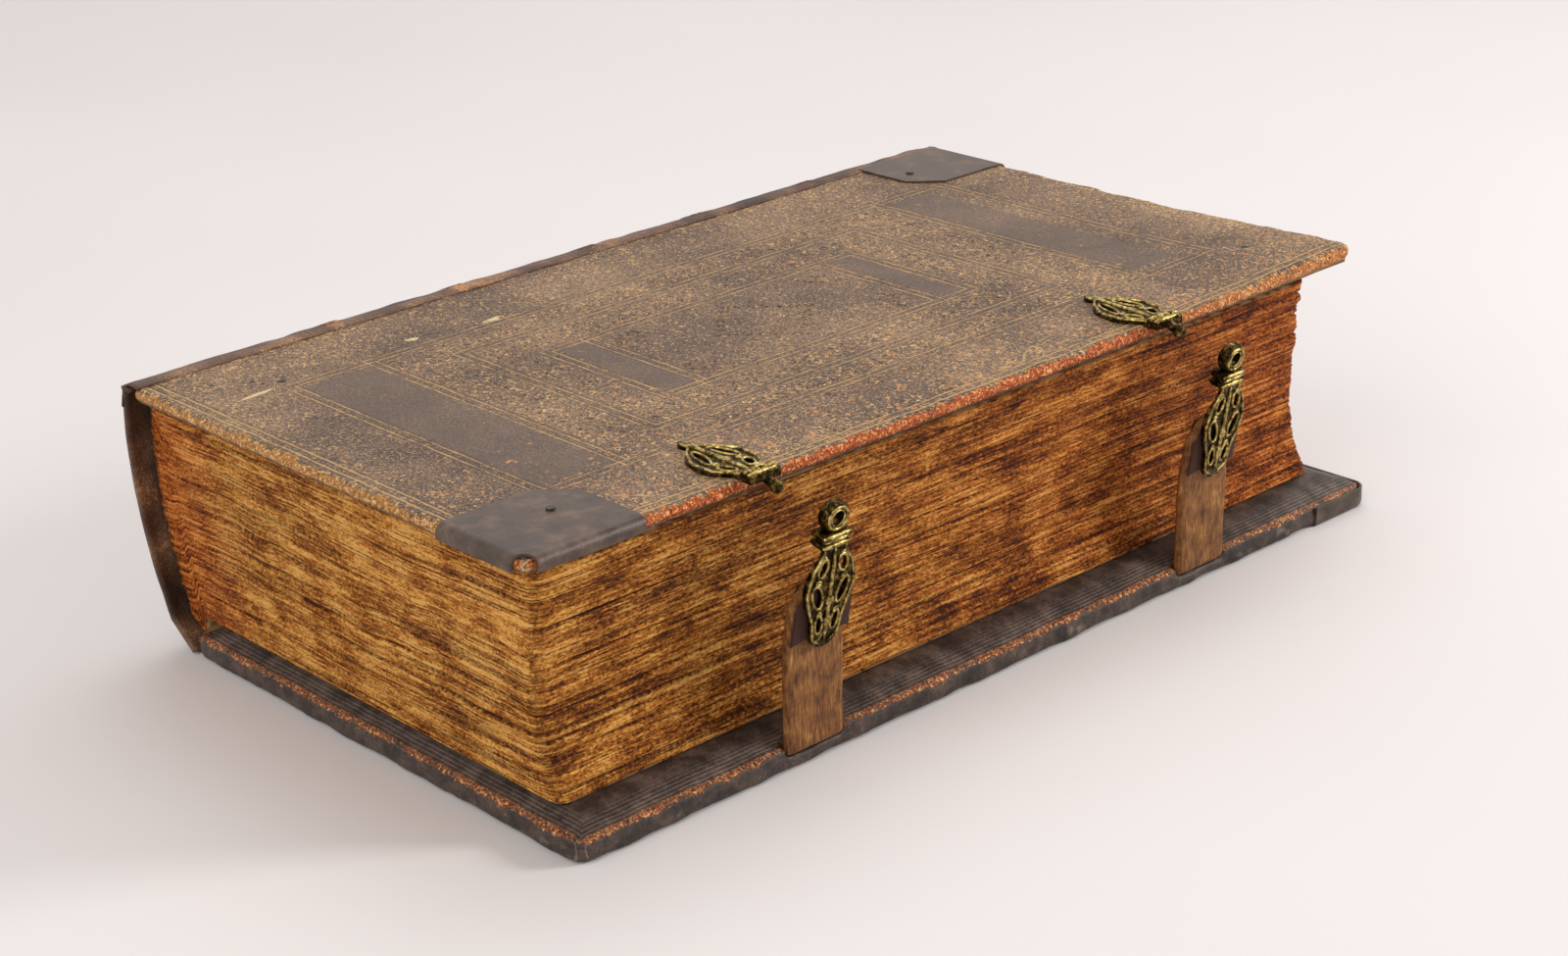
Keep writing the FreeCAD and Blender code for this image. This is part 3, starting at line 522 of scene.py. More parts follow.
def leafEdges():
    material, tree = newMaterial("ragPaperLeaves")
    leaf = addNode(tree, "ShaderNodeAttribute", attribute_name="leafSpace", out="Vector")
    depth = addNode(tree, "ShaderNodeAttribute", attribute_name="leafDepth", out="Fac")
    split = tree.nodes.new("ShaderNodeSeparateXYZ")
    tree.links.new(leaf, split.inputs[0])
    along, _, page = split.outputs
    place = objectMillimetres(tree)[0]

    def streaks(length, step, detail, rough):
        stretched = addNode(tree, "ShaderNodeVectorMath",
                            (leaf, (1 / length, 1 / step, 0.0)), operation="MULTIPLY")
        return addNode(tree, "ShaderNodeTexNoise",
                       {"Vector": stretched, "Scale": 1.0, "Detail": detail, "Roughness": rough})

    fine = streaks(leaves["streakLength"], leaves["leafStep"], 3.0, 0.6)
    bundle = streaks(leaves["bundleLength"], leaves["bundleStep"], 3.0, 0.65)
    gaps = streaks(110.0, 0.9, 2.0, 0.5)
    blotch = streaks(20.0, 12.0, 6.0, 0.72)
    speckle = streaks(1.5, 0.9, 2.0, 0.7)
    # stained patches, lighter on the tail face and darker low on the fore-edge, with painted shade where the
    # leaves and the gaps between gatherings are set back
    tone = weighted(tree, 0.0, (fine, 0.55), (bundle, 0.55), (blotch, 0.9), (speckle, 0.65), (depth, -0.16))
    side = addNode(tree, "ShaderNodeMapRange", {0: along, 1: 195.0, 2: 235.0, 3: 0.06, 4: 0.0})
    tone = addNode(tree, "ShaderNodeMath", (tone, side), operation="ADD")
    tone = addNode(tree, "ShaderNodeMath", (tone, 1.0), operation="SUBTRACT")
    colour = addNode(tree, "ShaderNodeValToRGB", (tone,),
                     stops=((0.06, leaves["dark"]), (0.19, leaves["brown"]), (0.29, leaves["gold"]),
                            (0.44, leaves["light"])))
    # crisp dark gaps between the gatherings
    line = addNode(tree, "ShaderNodeMapRange", {0: gaps, 1: 0.45, 2: 0.41, 3: 0.0, 4: 0.9})
    broken = addNode(tree, "ShaderNodeMapRange", {0: speckle, 1: 0.3, 2: 0.55, 3: 1.0, 4: 0.45})
    line = addNode(tree, "ShaderNodeMath", (line, broken), operation="MULTIPLY")
    colour = addNode(tree, "ShaderNodeMix", {0: line, 6: colour, 7: leaves["line"]}, data_type="RGBA")
    # redder toward the head and beside the spine
    warm = addNode(tree, "ShaderNodeMapRange", {0: along, 1: 300.0, 2: 560.0, 3: 0.0, 4: 0.6})
    spineWarm = addNode(tree, "ShaderNodeMapRange", {0: along, 1: 45.0, 2: -5.0, 3: 0.0, 4: 0.7})
    warm = addNode(tree, "ShaderNodeMath", (warm, spineWarm), operation="MAXIMUM")
    red = addNode(tree, "ShaderNodeMix", {0: 1.0, 6: colour, 7: "#e8a078"}, data_type="RGBA",
                  blend_type="MULTIPLY")
    colour = addNode(tree, "ShaderNodeMix", {0: warm, 6: colour, 7: red}, data_type="RGBA")
    paper = addNode(tree, "ShaderNodeTexNoise", {"Vector": place, "Scale": 1 / 22.0, "Detail": 6.0})
    pageColour = addNode(tree, "ShaderNodeValToRGB", (paper,), stops=((0.3, "#a37f4f"), (0.7, "#cdb083")))
    colour = addNode(tree, "ShaderNodeMix", {0: page, 6: colour, 7: pageColour}, data_type="RGBA")
    height = weighted(tree, fine, (speckle, 0.8), (line, -1.2))
    bump = addNode(tree, "ShaderNodeBump", {"Height": height, "Strength": 0.7, "Distance": 0.0007})
    shader = addNode(tree, "ShaderNodeBsdfPrincipled",
                     {"Base Color": colour, "Roughness": 0.82, "Normal": bump, "Specular IOR Level": 0.2})
    closeMaterial(tree, shader)
    return material


leafMaterial = leafEdges()


# Sand-cast brass, never polished: brown tarnish in the hollows, yellow metal where hands have rubbed it
def agedBrass(name, rubbed):
    material, tree = newMaterial(name)
    place = objectMillimetres(tree)[0]
    wear = addNode(tree, "ShaderNodeTexNoise",
                   {"Vector": place, "Scale": 1 / 2.2, "Detail": 4.0, "Roughness": 0.7})
    pits = addNode(tree, "ShaderNodeTexNoise", {"Vector": place, "Scale": 1 / 0.5, "Detail": 2.0})
    bright = addNode(tree, "ShaderNodeMath", (wear, rubbed), operation="ADD")
    colour = addNode(tree, "ShaderNodeValToRGB", (bright,),
                     stops=((0.4, "#171006"), (0.52, "#4d3d1d"), (0.66, "#a89050"), (0.84, "#ecdc9c")))
    rough = addNode(tree, "ShaderNodeMapRange", {0: bright, 1: 0.4, 2: 0.8, 3: 0.55, 4: 0.28})
    bump = addNode(tree, "ShaderNodeBump", {"Height": pits, "Strength": 0.35, "Distance": 0.0003})
    shader = addNode(tree, "ShaderNodeBsdfPrincipled",
                     {"Base Color": colour, "Metallic": 1.0, "Roughness": rough, "Normal": bump})
    closeMaterial(tree, shader)
    return material


darkBrass = agedBrass("tarnishedBrass", -0.04)
rubbedBrass = agedBrass("rubbedBrass", 0.13)


# Thin iron sheet, blackened and waxed, with a worn sheen on its rolled edges
def blackenedIron(name, lift):
    material, tree = newMaterial(name)
    place = objectMillimetres(tree)[0]
    clouds = addNode(tree, "ShaderNodeTexNoise",
                     {"Vector": place, "Scale": 1 / 9.0, "Detail": 6.0, "Roughness": 0.65})
    pits = addNode(tree, "ShaderNodeTexNoise", {"Vector": place, "Scale": 1 / 0.8, "Detail": 3.0})
    tone = addNode(tree, "ShaderNodeMath", (clouds, lift), operation="ADD")
    colour = addNode(tree, "ShaderNodeValToRGB", (tone,),
                     stops=((0.3, "#2f231b"), (0.52, "#544337"), (0.75, "#7a6555")))
    rough = addNode(tree, "ShaderNodeMapRange", {0: clouds, 1: 0.3, 2: 0.7, 3: 0.34, 4: 0.5})
    bump = addNode(tree, "ShaderNodeBump", {"Height": pits, "Strength": 0.25, "Distance": 0.0003})
    shader = addNode(tree, "ShaderNodeBsdfPrincipled",
                     {"Base Color": colour, "Metallic": 0.2, "Roughness": rough, "Normal": bump})
    closeMaterial(tree, shader)
    return material


sheetIron = blackenedIron("blackenedIron", 0.0)
nailIron = blackenedIron("nailIron", -0.12)


# Strap leather: thick cattle hide, worn brown, its fibres showing as streaks that run up the strap
def strapLeather(name, dark):
    material, tree = newMaterial(name)
    place = objectMillimetres(tree)[0]
    stretched = addNode(tree, "ShaderNodeVectorMath",
                        (place, (1 / 1.2, 1 / 0.8, 1 / 6.0)), operation="MULTIPLY")
    fibre = addNode(tree, "ShaderNodeTexNoise",
                    {"Vector": stretched, "Scale": 1.0, "Detail": 5.0, "Roughness": 0.7})
    patch = addNode(tree, "ShaderNodeTexNoise",
                    {"Vector": place, "Scale": 1 / 6.0, "Detail": 4.0, "Roughness": 0.6})
    tone = weighted(tree, dark, (fibre, 0.8), (patch, 0.5))
    colour = addNode(tree, "ShaderNodeValToRGB", (tone,),
                     stops=((0.45, "#37190a"), (0.6, "#6d4320"), (0.74, "#93622f"), (0.9, "#c9995f")))
    bump = addNode(tree, "ShaderNodeBump", {"Height": tone, "Strength": 0.7, "Distance": 0.0008})
    shader = addNode(tree, "ShaderNodeBsdfPrincipled",
                     {"Base Color": colour, "Roughness": 0.7, "Normal": bump, "Specular IOR Level": 0.35})
    closeMaterial(tree, shader)
    return material


strapMaterial = strapLeather("wornStrapHide", 0.0)
patchMaterial = strapLeather("darkPatchHide", -0.32)


# Oak board, lining papers, hemp cord and thread: seen only from behind or when the book is open
def plainFibre(name, low, high, stretch, bumpSize):
    material, tree = newMaterial(name)
    place = objectMillimetres(tree)[0]
    grainPlace = addNode(tree, "ShaderNodeVectorMath", (place, stretch), operation="MULTIPLY")
    grain = addNode(tree, "ShaderNodeTexNoise",
                    {"Vector": grainPlace, "Scale": 1.0, "Detail": 6.0, "Roughness": 0.65})
    colour = addNode(tree, "ShaderNodeValToRGB", (grain,), stops=((0.32, low), (0.68, high)))
    bump = addNode(tree, "ShaderNodeBump", {"Height": grain, "Strength": 0.4, "Distance": bumpSize * mm})
    shader = addNode(tree, "ShaderNodeBsdfPrincipled",
                     {"Base Color": colour, "Roughness": 0.8, "Normal": bump, "Specular IOR Level": 0.3})
    closeMaterial(tree, shader)
    return material


oakBoard = plainFibre("oakBoard", "#5a3a20", "#8f6a40", (1 / 1.5, 1 / 40.0, 1 / 1.5), 0.5)
liningPaper = plainFibre("liningPaper", "#8d7148", "#c4a97c", (1 / 14.0, 1 / 14.0, 1 / 14.0), 0.2)
hempCord = plainFibre("hempCord", "#6e5a3c", "#b39b70", (1 / 0.8, 1 / 1.2, 1 / 3.0), 0.5)
print("materials made")


# covers: one rounded slab each, remeshed so that its edges can be rubbed and dented

coverWear = {"voxel": 1.5, "dent": 0.45, "dentSize": 9.0, "scuff": 0.22, "scuffSize": 3.0, "windowInset": 19.0}


def coverSlab(name, material, notches, thickness, edge):
    # made like the lower cover: inner face up, middle of the underside at the origin, in millimetres
    halfX, halfY = coverHalf
    bevel = book["bevelWidth"]
    rings = (
        (2.4, 0.0), (1.1, 0.35), (0.3, 1.2), (0.0, 2.3), (0.0, edge - 1.6), (0.35, edge - 0.6),
        (1.4, edge + 0.1), (bevel - 1.5, thickness - 0.45), (bevel + 1.5, thickness),
    )
    points = []
    steps = 6
    for inset, up in rings:
        radius = max(book["cornerRound"] - inset, 0.8)
        for quarter in range(4):
            sx, sy = ((1, 1), (-1, 1), (-1, -1), (1, -1))[quarter]
            for step in range(steps + 1):
                angle = math.radians(90 * (quarter + step / steps))
                cx = sx * (halfX - inset - radius)
                cy = sy * (halfY - inset - radius)
                points.append((cx + radius * math.cos(angle), cy + radius * math.sin(angle), up))
    count = 4 * (steps + 1)
    faces = gridFaces(len(rings), count, ringCols=True)
    faces.append(tuple(reversed(range(count))))
    faces.append(tuple(range((len(rings) - 1) * count, len(rings) * count)))
    slab = meshPiece(name, points, faces, material, weld=0.001)
    for low, high in notches:
        corners = [(x, y, z) for x in (low[0], high[0]) for y in (low[1], high[1])
                   for z in (low[2], high[2])]
        tool = meshPiece(name + "Notch", corners, [(0, 1, 3, 2), (4, 6, 7, 5), (0, 4, 5, 1), (2, 3, 7, 6),
                                                   (0, 2, 6, 4), (1, 5, 7, 3)], material, weld=0.001)
        cut = slab.modifiers.new("notch", "BOOLEAN")
        cut.operation = "DIFFERENCE"
        cut.object = tool
        cut.solver = "EXACT"
        applyModifiers(slab)
        bpy.data.objects.remove(tool)
    grid = slab.modifiers.new("grid", "REMESH")
    grid.mode = "VOXEL"
    grid.voxel_size = coverWear["voxel"]
    grid.use_smooth_shade = True
    applyModifiers(slab)
    slab.data.materials.clear()
    slab.data.materials.append(material)
    points = getPoints(slab)
    # dents and scuffs, strongest along the edges
    gone = np.minimum(halfX - abs(points[:, 0]), halfY - abs(points[:, 1]))
    rim = np.exp(-np.clip(gone, 0, None) / 5.0)
    middle = points * (1, 1, 0) + (0, 0, thickness / 2)
    outward = points - middle
    outward[:, 0] += np.sign(points[:, 0]) * np.exp(-np.clip(halfX - abs(points[:, 0]), 0, None) / 2.5) * 8
    outward[:, 1] += np.sign(points[:, 1]) * np.exp(-np.clip(halfY - abs(points[:, 1]), 0, None) / 2.5) * 8
    outward /= np.linalg.norm(outward, axis=1)[:, None] + 1e-9
    dent = softNoise(points / coverWear["dentSize"], 3) * coverWear["dent"] * (0.25 + 0.75 * rim)
    scuff = softNoise(points / coverWear["scuffSize"], 5) * coverWear["scuff"] * (0.3 + 0.7 * rim)
    points = points + outward * (dent + scuff - 0.1 * rim)[:, None]
    # the turn-ins end round a shallow window that the paper lies in
    inWindow = (abs(points[:, 0]) < halfX - coverWear["windowInset"] - 0.2) & (
        abs(points[:, 1]) < halfY - coverWear["windowInset"] - 0.2) & (points[:, 2] > thickness - 3)
    points[inWindow, 2] = np.minimum(points[inWindow, 2], thickness - 1.3)
    setPoints(slab, points)
    return slab


def warpUpper(points):
    # the board has lifted a little toward its head and fore-edge corner
    lift = 2.4 * ease(10, 108, points[:, 0]) * ease(88, 178, points[:, 1]) * ease(96, 103, points[:, 2])
    moved = points.copy()
    moved[:, 2] += lift
    return moved


def turnedOver(points):
    return np.column_stack((points[:, 0], points[:, 1] - book["upperShift"], topFace - points[:, 2]))


strapPlaces = {"tail": -94.5, "head": 94.8}
notches = []
for place in strapPlaces.values():
    notches.append(((foreEdge - 4.9, place - 12.9, 4.6), (foreEdge + 9, place + 12.9, 20)))
lowerLeather = coverSlab("lowerCoverLeather", lowerCalf, notches, book["lowerThickness"], book["lowerEdge"])
# it lies flat on the surface below
setPoints(lowerLeather, np.maximum(getPoints(lowerLeather), (-1000, -1000, 0.05)) * mm)
setPiece(lowerLeather, "lower_cover", "leather", "lower_leather")

upperLeather = coverSlab("upperCoverLeather", upperCalf, (), book["upperThickness"], book["upperEdge"])
setPoints(upperLeather, warpUpper(turnedOver(getPoints(upperLeather))) * mm)
upperLeather.data.flip_normals()
setPiece(upperLeather, "upper_cover", "leather", "upper_leather")
print("covers made: %d faces each" % len(upperLeather.data.polygons))


# block of leaves

blockForm = {
    "foreSquareLow": 16.5, "foreSquareHigh": 9.2, "hollow": 7.1, "tailLow": 6.5, "tailHigh": 9.5,
    "headLow": 12.5, "headHigh": 15.5, "cornerRound": 5.0, "leafRows": 150, "alongRows": 130, "acrossRows": 72,
    "tailWave": 1.5, "foreWave": 0.55, "leafDepth": 0.5, "bundleDepth": 0.7,
    "hollowShape": ((0.0, 0.0), (0.12, 0.72), (0.3, 1.0), (0.55, 0.8), (0.8, 0.42), (1.0, 0.0)),
    "spineCentre": 28.7, "spineRadius": 149.2, "spineHeight": 45.0, "shoulderLow": 4.4, "shoulderHigh": 99.6,
}


def blockEnds(share):
    # where the leaves end at tail and head, at a share of the block's height
    form = blockForm
    tail = -coverHalf[1] + form["tailLow"] + share * (form["tailHigh"] - form["tailLow"] - book["upperShift"])
    head = coverHalf[1] - form["headLow"] - share * (form["headHigh"] - form["headLow"] + book["upperShift"])
    return tail, head


def makeBlock():
    form = blockForm
    low, height = book["blockLow"], book["blockHeight"]
    rowsW, rowsV, rowsU = form["leafRows"], form["alongRows"], form["acrossRows"]
    jointX = backEdge - 0.5
    w = np.linspace(0, 1, rowsW)
    v = np.linspace(0, 1, rowsV)
    shoulder = 6
    u = np.concatenate((np.linspace(-1, 0, shoulder), np.linspace(0, 1, rowsU)[1:]))

    def position(us, vs, ws):
        shares, depths = zip(*form["hollowShape"])
        hollow = np.interp(ws, shares, depths)
        beside = np.interp(ws - 0.04, shares, depths) + np.interp(ws + 0.04, shares, depths)
        hollow = 0.5 * hollow + 0.25 * beside
        fore = foreEdge - form["foreSquareLow"] + (form["foreSquareLow"] - form["foreSquareHigh"]) * ws
        fore = fore - form["hollow"] * hollow
        tail, head = blockEnds(ws)
        z = low + ws * height
        zSpine = form["shoulderLow"] + ws * (form["shoulderHigh"] - form["shoulderLow"])
        arc = form["spineCentre"] - np.sqrt(form["spineRadius"] ** 2 - (zSpine - form["spineHeight"]) ** 2)
        arc = np.maximum(arc, jointX - (zSpine - form["shoulderLow"]) * 0.92 - 0.6)
        x = np.where(us > 0, jointX + (fore - jointX) * us, jointX + (arc - jointX) * (-us))
        fan = ease(0.0, 0.3, -us)
        z = z + (zSpine - z) * np.where(us < 0, fan, 0)
        y = tail + (head - tail) * vs
        # rounded upright corners at the fore-edge
        radius = form["cornerRound"]
        for end, sign in ((tail, 1), (head, -1)):
            a = fore - x
            b = (y - end) * sign
            near = (a < radius) & (b < radius)
            qx = np.where(near, radius - a, 1)
            qy = np.where(near, radius - b, 1)
            size = np.maximum(np.sqrt(qx ** 2 + qy ** 2), 1e-9)
            x = np.where(near, fore - radius + radius * qx / size, x)
            y = np.where(near, end + sign * (radius - radius * qy / size), y)
        # how far each point is from the three open faces
        toFore = np.exp(-np.clip(fore - x, 0, None) / 3.0)
        toTail = np.exp(-np.clip(y - tail, 0, None) / 3.0)
        toHead = np.exp(-np.clip(head - y, 0, None) / 3.0)
        middle = np.sin(np.pi * np.clip(ws, 0, 1)) ** 0.6
        wavePlace = np.column_stack((x / 34, y / 60, ws * 2.2))
        wave = softNoise(wavePlace, 11) + 0.5 * softNoise(wavePlace * 2.3, 12)
        waveSize = form["tailWave"] * np.maximum(toTail, toHead) * (1 - 0.5 * toFore)
        waveSize = waveSize + form["foreWave"] * toFore
        z = z + wave * waveSize * middle
        row = np.round(ws * (rowsW - 1))
        leafPlace = np.column_stack((x / 30, y / 30, row * 0.83))
        single = softNoise(leafPlace, 21)
        bundle = softNoise(np.column_stack((x / 55, y / 55, row / 5.0)), 22)
        gap = ease(0.55, 0.85, softNoise(np.column_stack((x / 80, y / 80, row * 0.61)), 23))
        depth = form["leafDepth"] * single + form["bundleDepth"] * bundle + 1.1 * gap
        edgeFade = ease(0.0, 0.012, ws) * ease(0.0, 0.012, 1 - ws)
        depth = depth * edgeFade
        x = x - toFore * depth
        y = y + (toTail - toHead) * depth
        # the second value is painted shade for the leaf edges: larger where the leaves are set back
        return np.column_stack((x, y, z)), np.clip(0.5 + 0.5 * single + 0.9 * gap, 0, 2)

    points, depths, spaces, faces = [], [], [], []
    grids = (
        ("tail", u, w), ("head", u, w), ("fore", v, w), ("spine", v, w), ("bottom", u, v), ("top", u, v),
    )
    total = 0
    for side, first, second in grids:
        a, b = [g.ravel() for g in np.meshgrid(first, second, indexing="ij")]
        fixed = {"tail": 0.0, "head": 1.0, "fore": 1.0, "spine": -1.0, "bottom": 0.0, "top": 1.0}[side]
        const = np.full(len(a), fixed)
        if side in ("tail", "head"):
            us, vs, ws = a, const, b
        elif side in ("fore", "spine"):
            us, vs, ws = const, a, b
        else:
            us, vs, ws = a, b, const
        spots, depth = position(us, vs, ws)
        isPage = side in ("top", "bottom")
        if side == "tail":
            along = spots[:, 0] - backEdge
        elif side == "fore":
            along = (foreEdge - backEdge) + spots[:, 1] + 195
        elif side == "head":
            along = 900 - spots[:, 0]
        else:
            along = 1300 + spots[:, 1]
        points.append(spots)
        depths.append(depth * (0 if isPage else 1))
        spaces.append(np.column_stack((along, ws * height, np.full(len(a), 1.0 if isPage else 0.0))))
        faces += gridFaces(len(first), len(second), first=total)
        total += len(a)
    points = np.concatenate(points)
    block = meshPiece("leafBlock", points * mm, faces, leafMaterial)
    space = block.data.attributes.new("leafSpace", "FLOAT_VECTOR", "POINT")
    space.data.foreach_set("vector", np.concatenate(spaces).ravel())
    # painted shade of the set-back leaves, none on the open pages
    shade = block.data.attributes.new("leafDepth", "FLOAT", "POINT")
    shade.data.foreach_set("value", np.concatenate(depths))
    work = bmesh.new()
    work.from_mesh(block.data)
    bmesh.ops.remove_doubles(work, verts=work.verts, dist=0.00002)
    bmesh.ops.recalc_face_normals(work, faces=work.faces)
    work.to_mesh(block.data)
    work.free()
    return block


leafBlock = makeBlock()
setPiece(leafBlock, "text_block", "leaves", "text_block")
print("leaf block made: %d faces" % len(leafBlock.data.polygons))


# spine leather with its raised bands

spineForm = {
    "radius": 152.0, "centreX": 28.7, "centreZ": 45.0, "topZ": 102.5, "footZ": 0.45, "thickness": 1.6,
    "bands": (-122.0, -67.0, -5.0, 49.2, 106.7), "bandRadius": 72.0, "bandCentreX": -58.0, "bandCentreZ": 53.0,
    "bandHalf": 7.4, "pathSteps": 64, "lengthSteps": 230, "panelSink": 0.35,
}


def makeSpine():
    form = spineForm
    jointX = backEdge - 0.3
    crownAngle = math.asin((form["topZ"] - form["centreZ"]) / form["radius"])
    # the foot slopes up at 45 degrees from the lower joint until it meets the arc
    heel = None
    for z in np.linspace(form["footZ"], 40, 800):
        arcX = form["centreX"] - math.sqrt(form["radius"] ** 2 - (z - form["centreZ"]) ** 2)
        if heel is None and jointX - (z - form["footZ"]) <= arcX:
            heel = (arcX, z)
    heelAngle = math.asin((heel[1] - form["centreZ"]) / form["radius"])
    path = [(jointX, form["topZ"])]
    path += [(form["centreX"] - form["radius"] * math.cos(t), form["centreZ"] + form["radius"] * math.sin(t))
             for t in np.linspace(crownAngle, heelAngle, form["pathSteps"])]
    footCount = 8
    path += [(heel[0] + (jointX - heel[0]) * k / footCount, heel[1] + (form["footZ"] - heel[1]) * k / footCount)
             for k in range(1, footCount + 1)]
    path = np.array(path)
    tangent = np.gradient(path, axis=0)
    tangent /= np.linalg.norm(tangent, axis=1)[:, None]
    normal = np.column_stack((tangent[:, 1], -tangent[:, 0]))
    centreB = np.array((form["bandCentreX"], form["bandCentreZ"]))
    away = path - centreB
    dot = (away * normal).sum(1)
    inside = form["bandRadius"] ** 2 - (away ** 2).sum(1) + dot ** 2
    rise = np.clip(-dot + np.sqrt(np.clip(inside, 0, None)), 0, None)
    stations = np.linspace(0, 1, form["lengthSteps"])
    points = []
    for t in stations:
        tail = -coverHalf[1] + 0.6
        head = coverHalf[1] - 0.6
        shift = -book["upperShift"] * path[:, 1] / book["totalHeight"]
        y = tail + (head - tail) * t + shift
        spot = path.copy()
        bulge = np.zeros(len(path))
        for band in form["bands"]:
            gap = abs(y - band)
            bulge = np.maximum(bulge, np.clip(1 - ease(form["bandHalf"] * 0.3, form["bandHalf"], gap), 0, 1))
        between = form["panelSink"] * (1 - bulge)
        roughness = softNoise(np.column_stack((path / 7.0, y / 7.0)), 31) * 0.3
        ends = 1 - min(t, 1 - t) / 0.012 if min(t, 1 - t) < 0.012 else 0
        clear = np.clip((path[:, 1] - form["footZ"]) / 5, 0, 1)
        spot = spot + normal * (rise * bulge - between + roughness * clear - ends * 0.8)[:, None]
        spot[:, 1] = np.maximum(spot[:, 1], form["footZ"])
        spot[:, 0] = np.minimum(spot[:, 0], jointX)
        points += [(p[0], yy, p[1]) for p, yy in zip(spot, y)]
    piece = meshPiece("spineLeather", np.array(points) * mm, gridFaces(form["lengthSteps"], len(path)),
                      spineCalf)
    solid = piece.modifiers.new("thickness", "SOLIDIFY")
    solid.thickness = form["thickness"] * mm
    solid.offset = -1.0
    solid.use_even_offset = True
    return applyModifiers(piece)


def spineLeatherMaterial():
    material, tree = newMaterial("rubbedSpineCalf")
    place, _, y, _ = objectMillimetres(tree)
    clouds = addNode(tree, "ShaderNodeTexNoise", {"Vector": place, "Scale": 1 / 22.0, "Detail": 5.0})
    grain = addNode(tree, "ShaderNodeTexNoise", {"Vector": place, "Scale": 1 / 0.9, "Detail": 3.0})
    speck = addNode(tree, "ShaderNodeTexNoise",
                    {"Vector": place, "Scale": 1 / 1.4, "Detail": 4.0, "Roughness": 0.75})
    ground = weighted(tree, clouds, (grain, 0.4))
    colour = addNode(tree, "ShaderNodeValToRGB", (ground,),
                     stops=((0.5, "#2e1c12"), (0.68, "#583c2a"), (0.85, "#80614a")))
    # lines of tooling beside each band, and rubbed leather on top of it
    nearest = None
    for band in spineForm["bands"]:
        away = distanceFrom(tree, y, band)
        nearest = away if nearest is None else addNode(
            tree, "ShaderNodeMath", (nearest, away), operation="MINIMUM")
    line = distanceFrom(tree, nearest, 10.2, 1.1)
    line = addNode(tree, "ShaderNodeMapRange", {0: line, 1: 0.5, 2: 0.1})
    faint = addNode(tree, "ShaderNodeMath", (line, 0.45), operation="MULTIPLY")
    colour = addNode(tree, "ShaderNodeMix", {0: faint, 6: colour, 7: "#a98457"}, data_type="RGBA")
    top = addNode(tree, "ShaderNodeMapRange", {0: nearest, 1: 5.0, 2: 1.0, 3: 0.0, 4: 0.14})
    rubbed = addNode(tree, "ShaderNodeMath", (speck, clouds), operation="ADD")
    rubbed = addNode(tree, "ShaderNodeMath", (rubbed, top), operation="ADD")
    rubbed = addNode(tree, "ShaderNodeMapRange", {0: rubbed, 1: 1.12, 2: 1.24})
    colour = addNode(tree, "ShaderNodeMix", {0: rubbed, 6: colour, 7: "#b98450"}, data_type="RGBA")
    height = weighted(tree, grain, (line, -0.8))
    bump = addNode(tree, "ShaderNodeBump", {"Height": height, "Strength": 0.6, "Distance": 0.0006})
    shader = addNode(tree, "ShaderNodeBsdfPrincipled",
                     {"Base Color": colour, "Roughness": 0.55, "Normal": bump, "Specular IOR Level": 0.45})
    closeMaterial(tree, shader)
    return material


spineCalf = spineLeatherMaterial()
spineLeather = makeSpine()
setPiece(spineLeather, "text_block", "leather", "spine_leather")
print("spine made")


# Geometry Nodes: one group sets a small copy on every point, for beads, stitches and stamps

def makeCopiesGroup():
    group = bpy.data.node_groups.new("copiesOnPoints", "GeometryNodeTree")
    for name, kind in (("Points", "Geometry"), ("Copy", "Object"), ("Material", "Material"),
                       ("Least", "Float"), ("Most", "Float"), ("Seed", "Int")):
        group.interface.new_socket(name=name, in_out="INPUT", socket_type="NodeSocket" + kind)
    group.interface.new_socket(name="Geometry", in_out="OUTPUT", socket_type="NodeSocketGeometry")
    given = group.nodes.new("NodeGroupInput").outputs
    turn = addNode(group, "GeometryNodeInputNamedAttribute", {"Name": "turn"}, data_type="FLOAT_VECTOR")
    size = addNode(group, "FunctionNodeRandomValue",
                   {2: given["Least"], 3: given["Most"], 8: given["Seed"]}, data_type="FLOAT")
    shape = addNode(group, "GeometryNodeObjectInfo", {"Object": given["Copy"]}, out="Geometry")
    placed = addNode(group, "GeometryNodeInstanceOnPoints",
                     {"Points": given["Points"], "Instance": shape, "Rotation": turn, "Scale": size})
    plain = addNode(group, "GeometryNodeRealizeInstances", (placed,))
    done = addNode(group, "GeometryNodeSetMaterial", {"Geometry": plain, "Material": given["Material"]})
    addNode(group, "NodeGroupOutput", (done,))
    return group


copiesGroup = makeCopiesGroup()


def setCopies(name, places, turns, copyShape, material, least=1.0, most=1.0, seed=1):
    # places in metres, turns as angles about X, Y and Z
    points, faces = copyShape
    copyPiece = meshPiece(name + "Copy", points, faces, material, weld=0.00001)
    mesh = bpy.data.meshes.new(name)
    mesh.from_pydata([tuple(p) for p in places], [], [])
    turn = mesh.attributes.new("turn", "FLOAT_VECTOR", "POINT")
    turn.data.foreach_set("vector", np.asarray(turns, float).ravel())
    piece = bpy.data.objects.new(name, mesh)
    bpy.context.scene.collection.objects.link(piece)
    modifier = piece.modifiers.new("copies", "NODES")
    modifier.node_group = copiesGroup
    given = {"Copy": copyPiece, "Material": material, "Least": least, "Most": most, "Seed": seed}
    for item in copiesGroup.interface.items_tree:
        if item.item_type == "SOCKET" and item.in_out == "INPUT" and item.name in given:
            modifier[item.identifier] = given[item.name]
    applyModifiers(piece)
    bpy.data.objects.remove(copyPiece)
    piece.data.polygons.foreach_set("use_smooth", [True] * len(piece.data.polygons))
    return piece


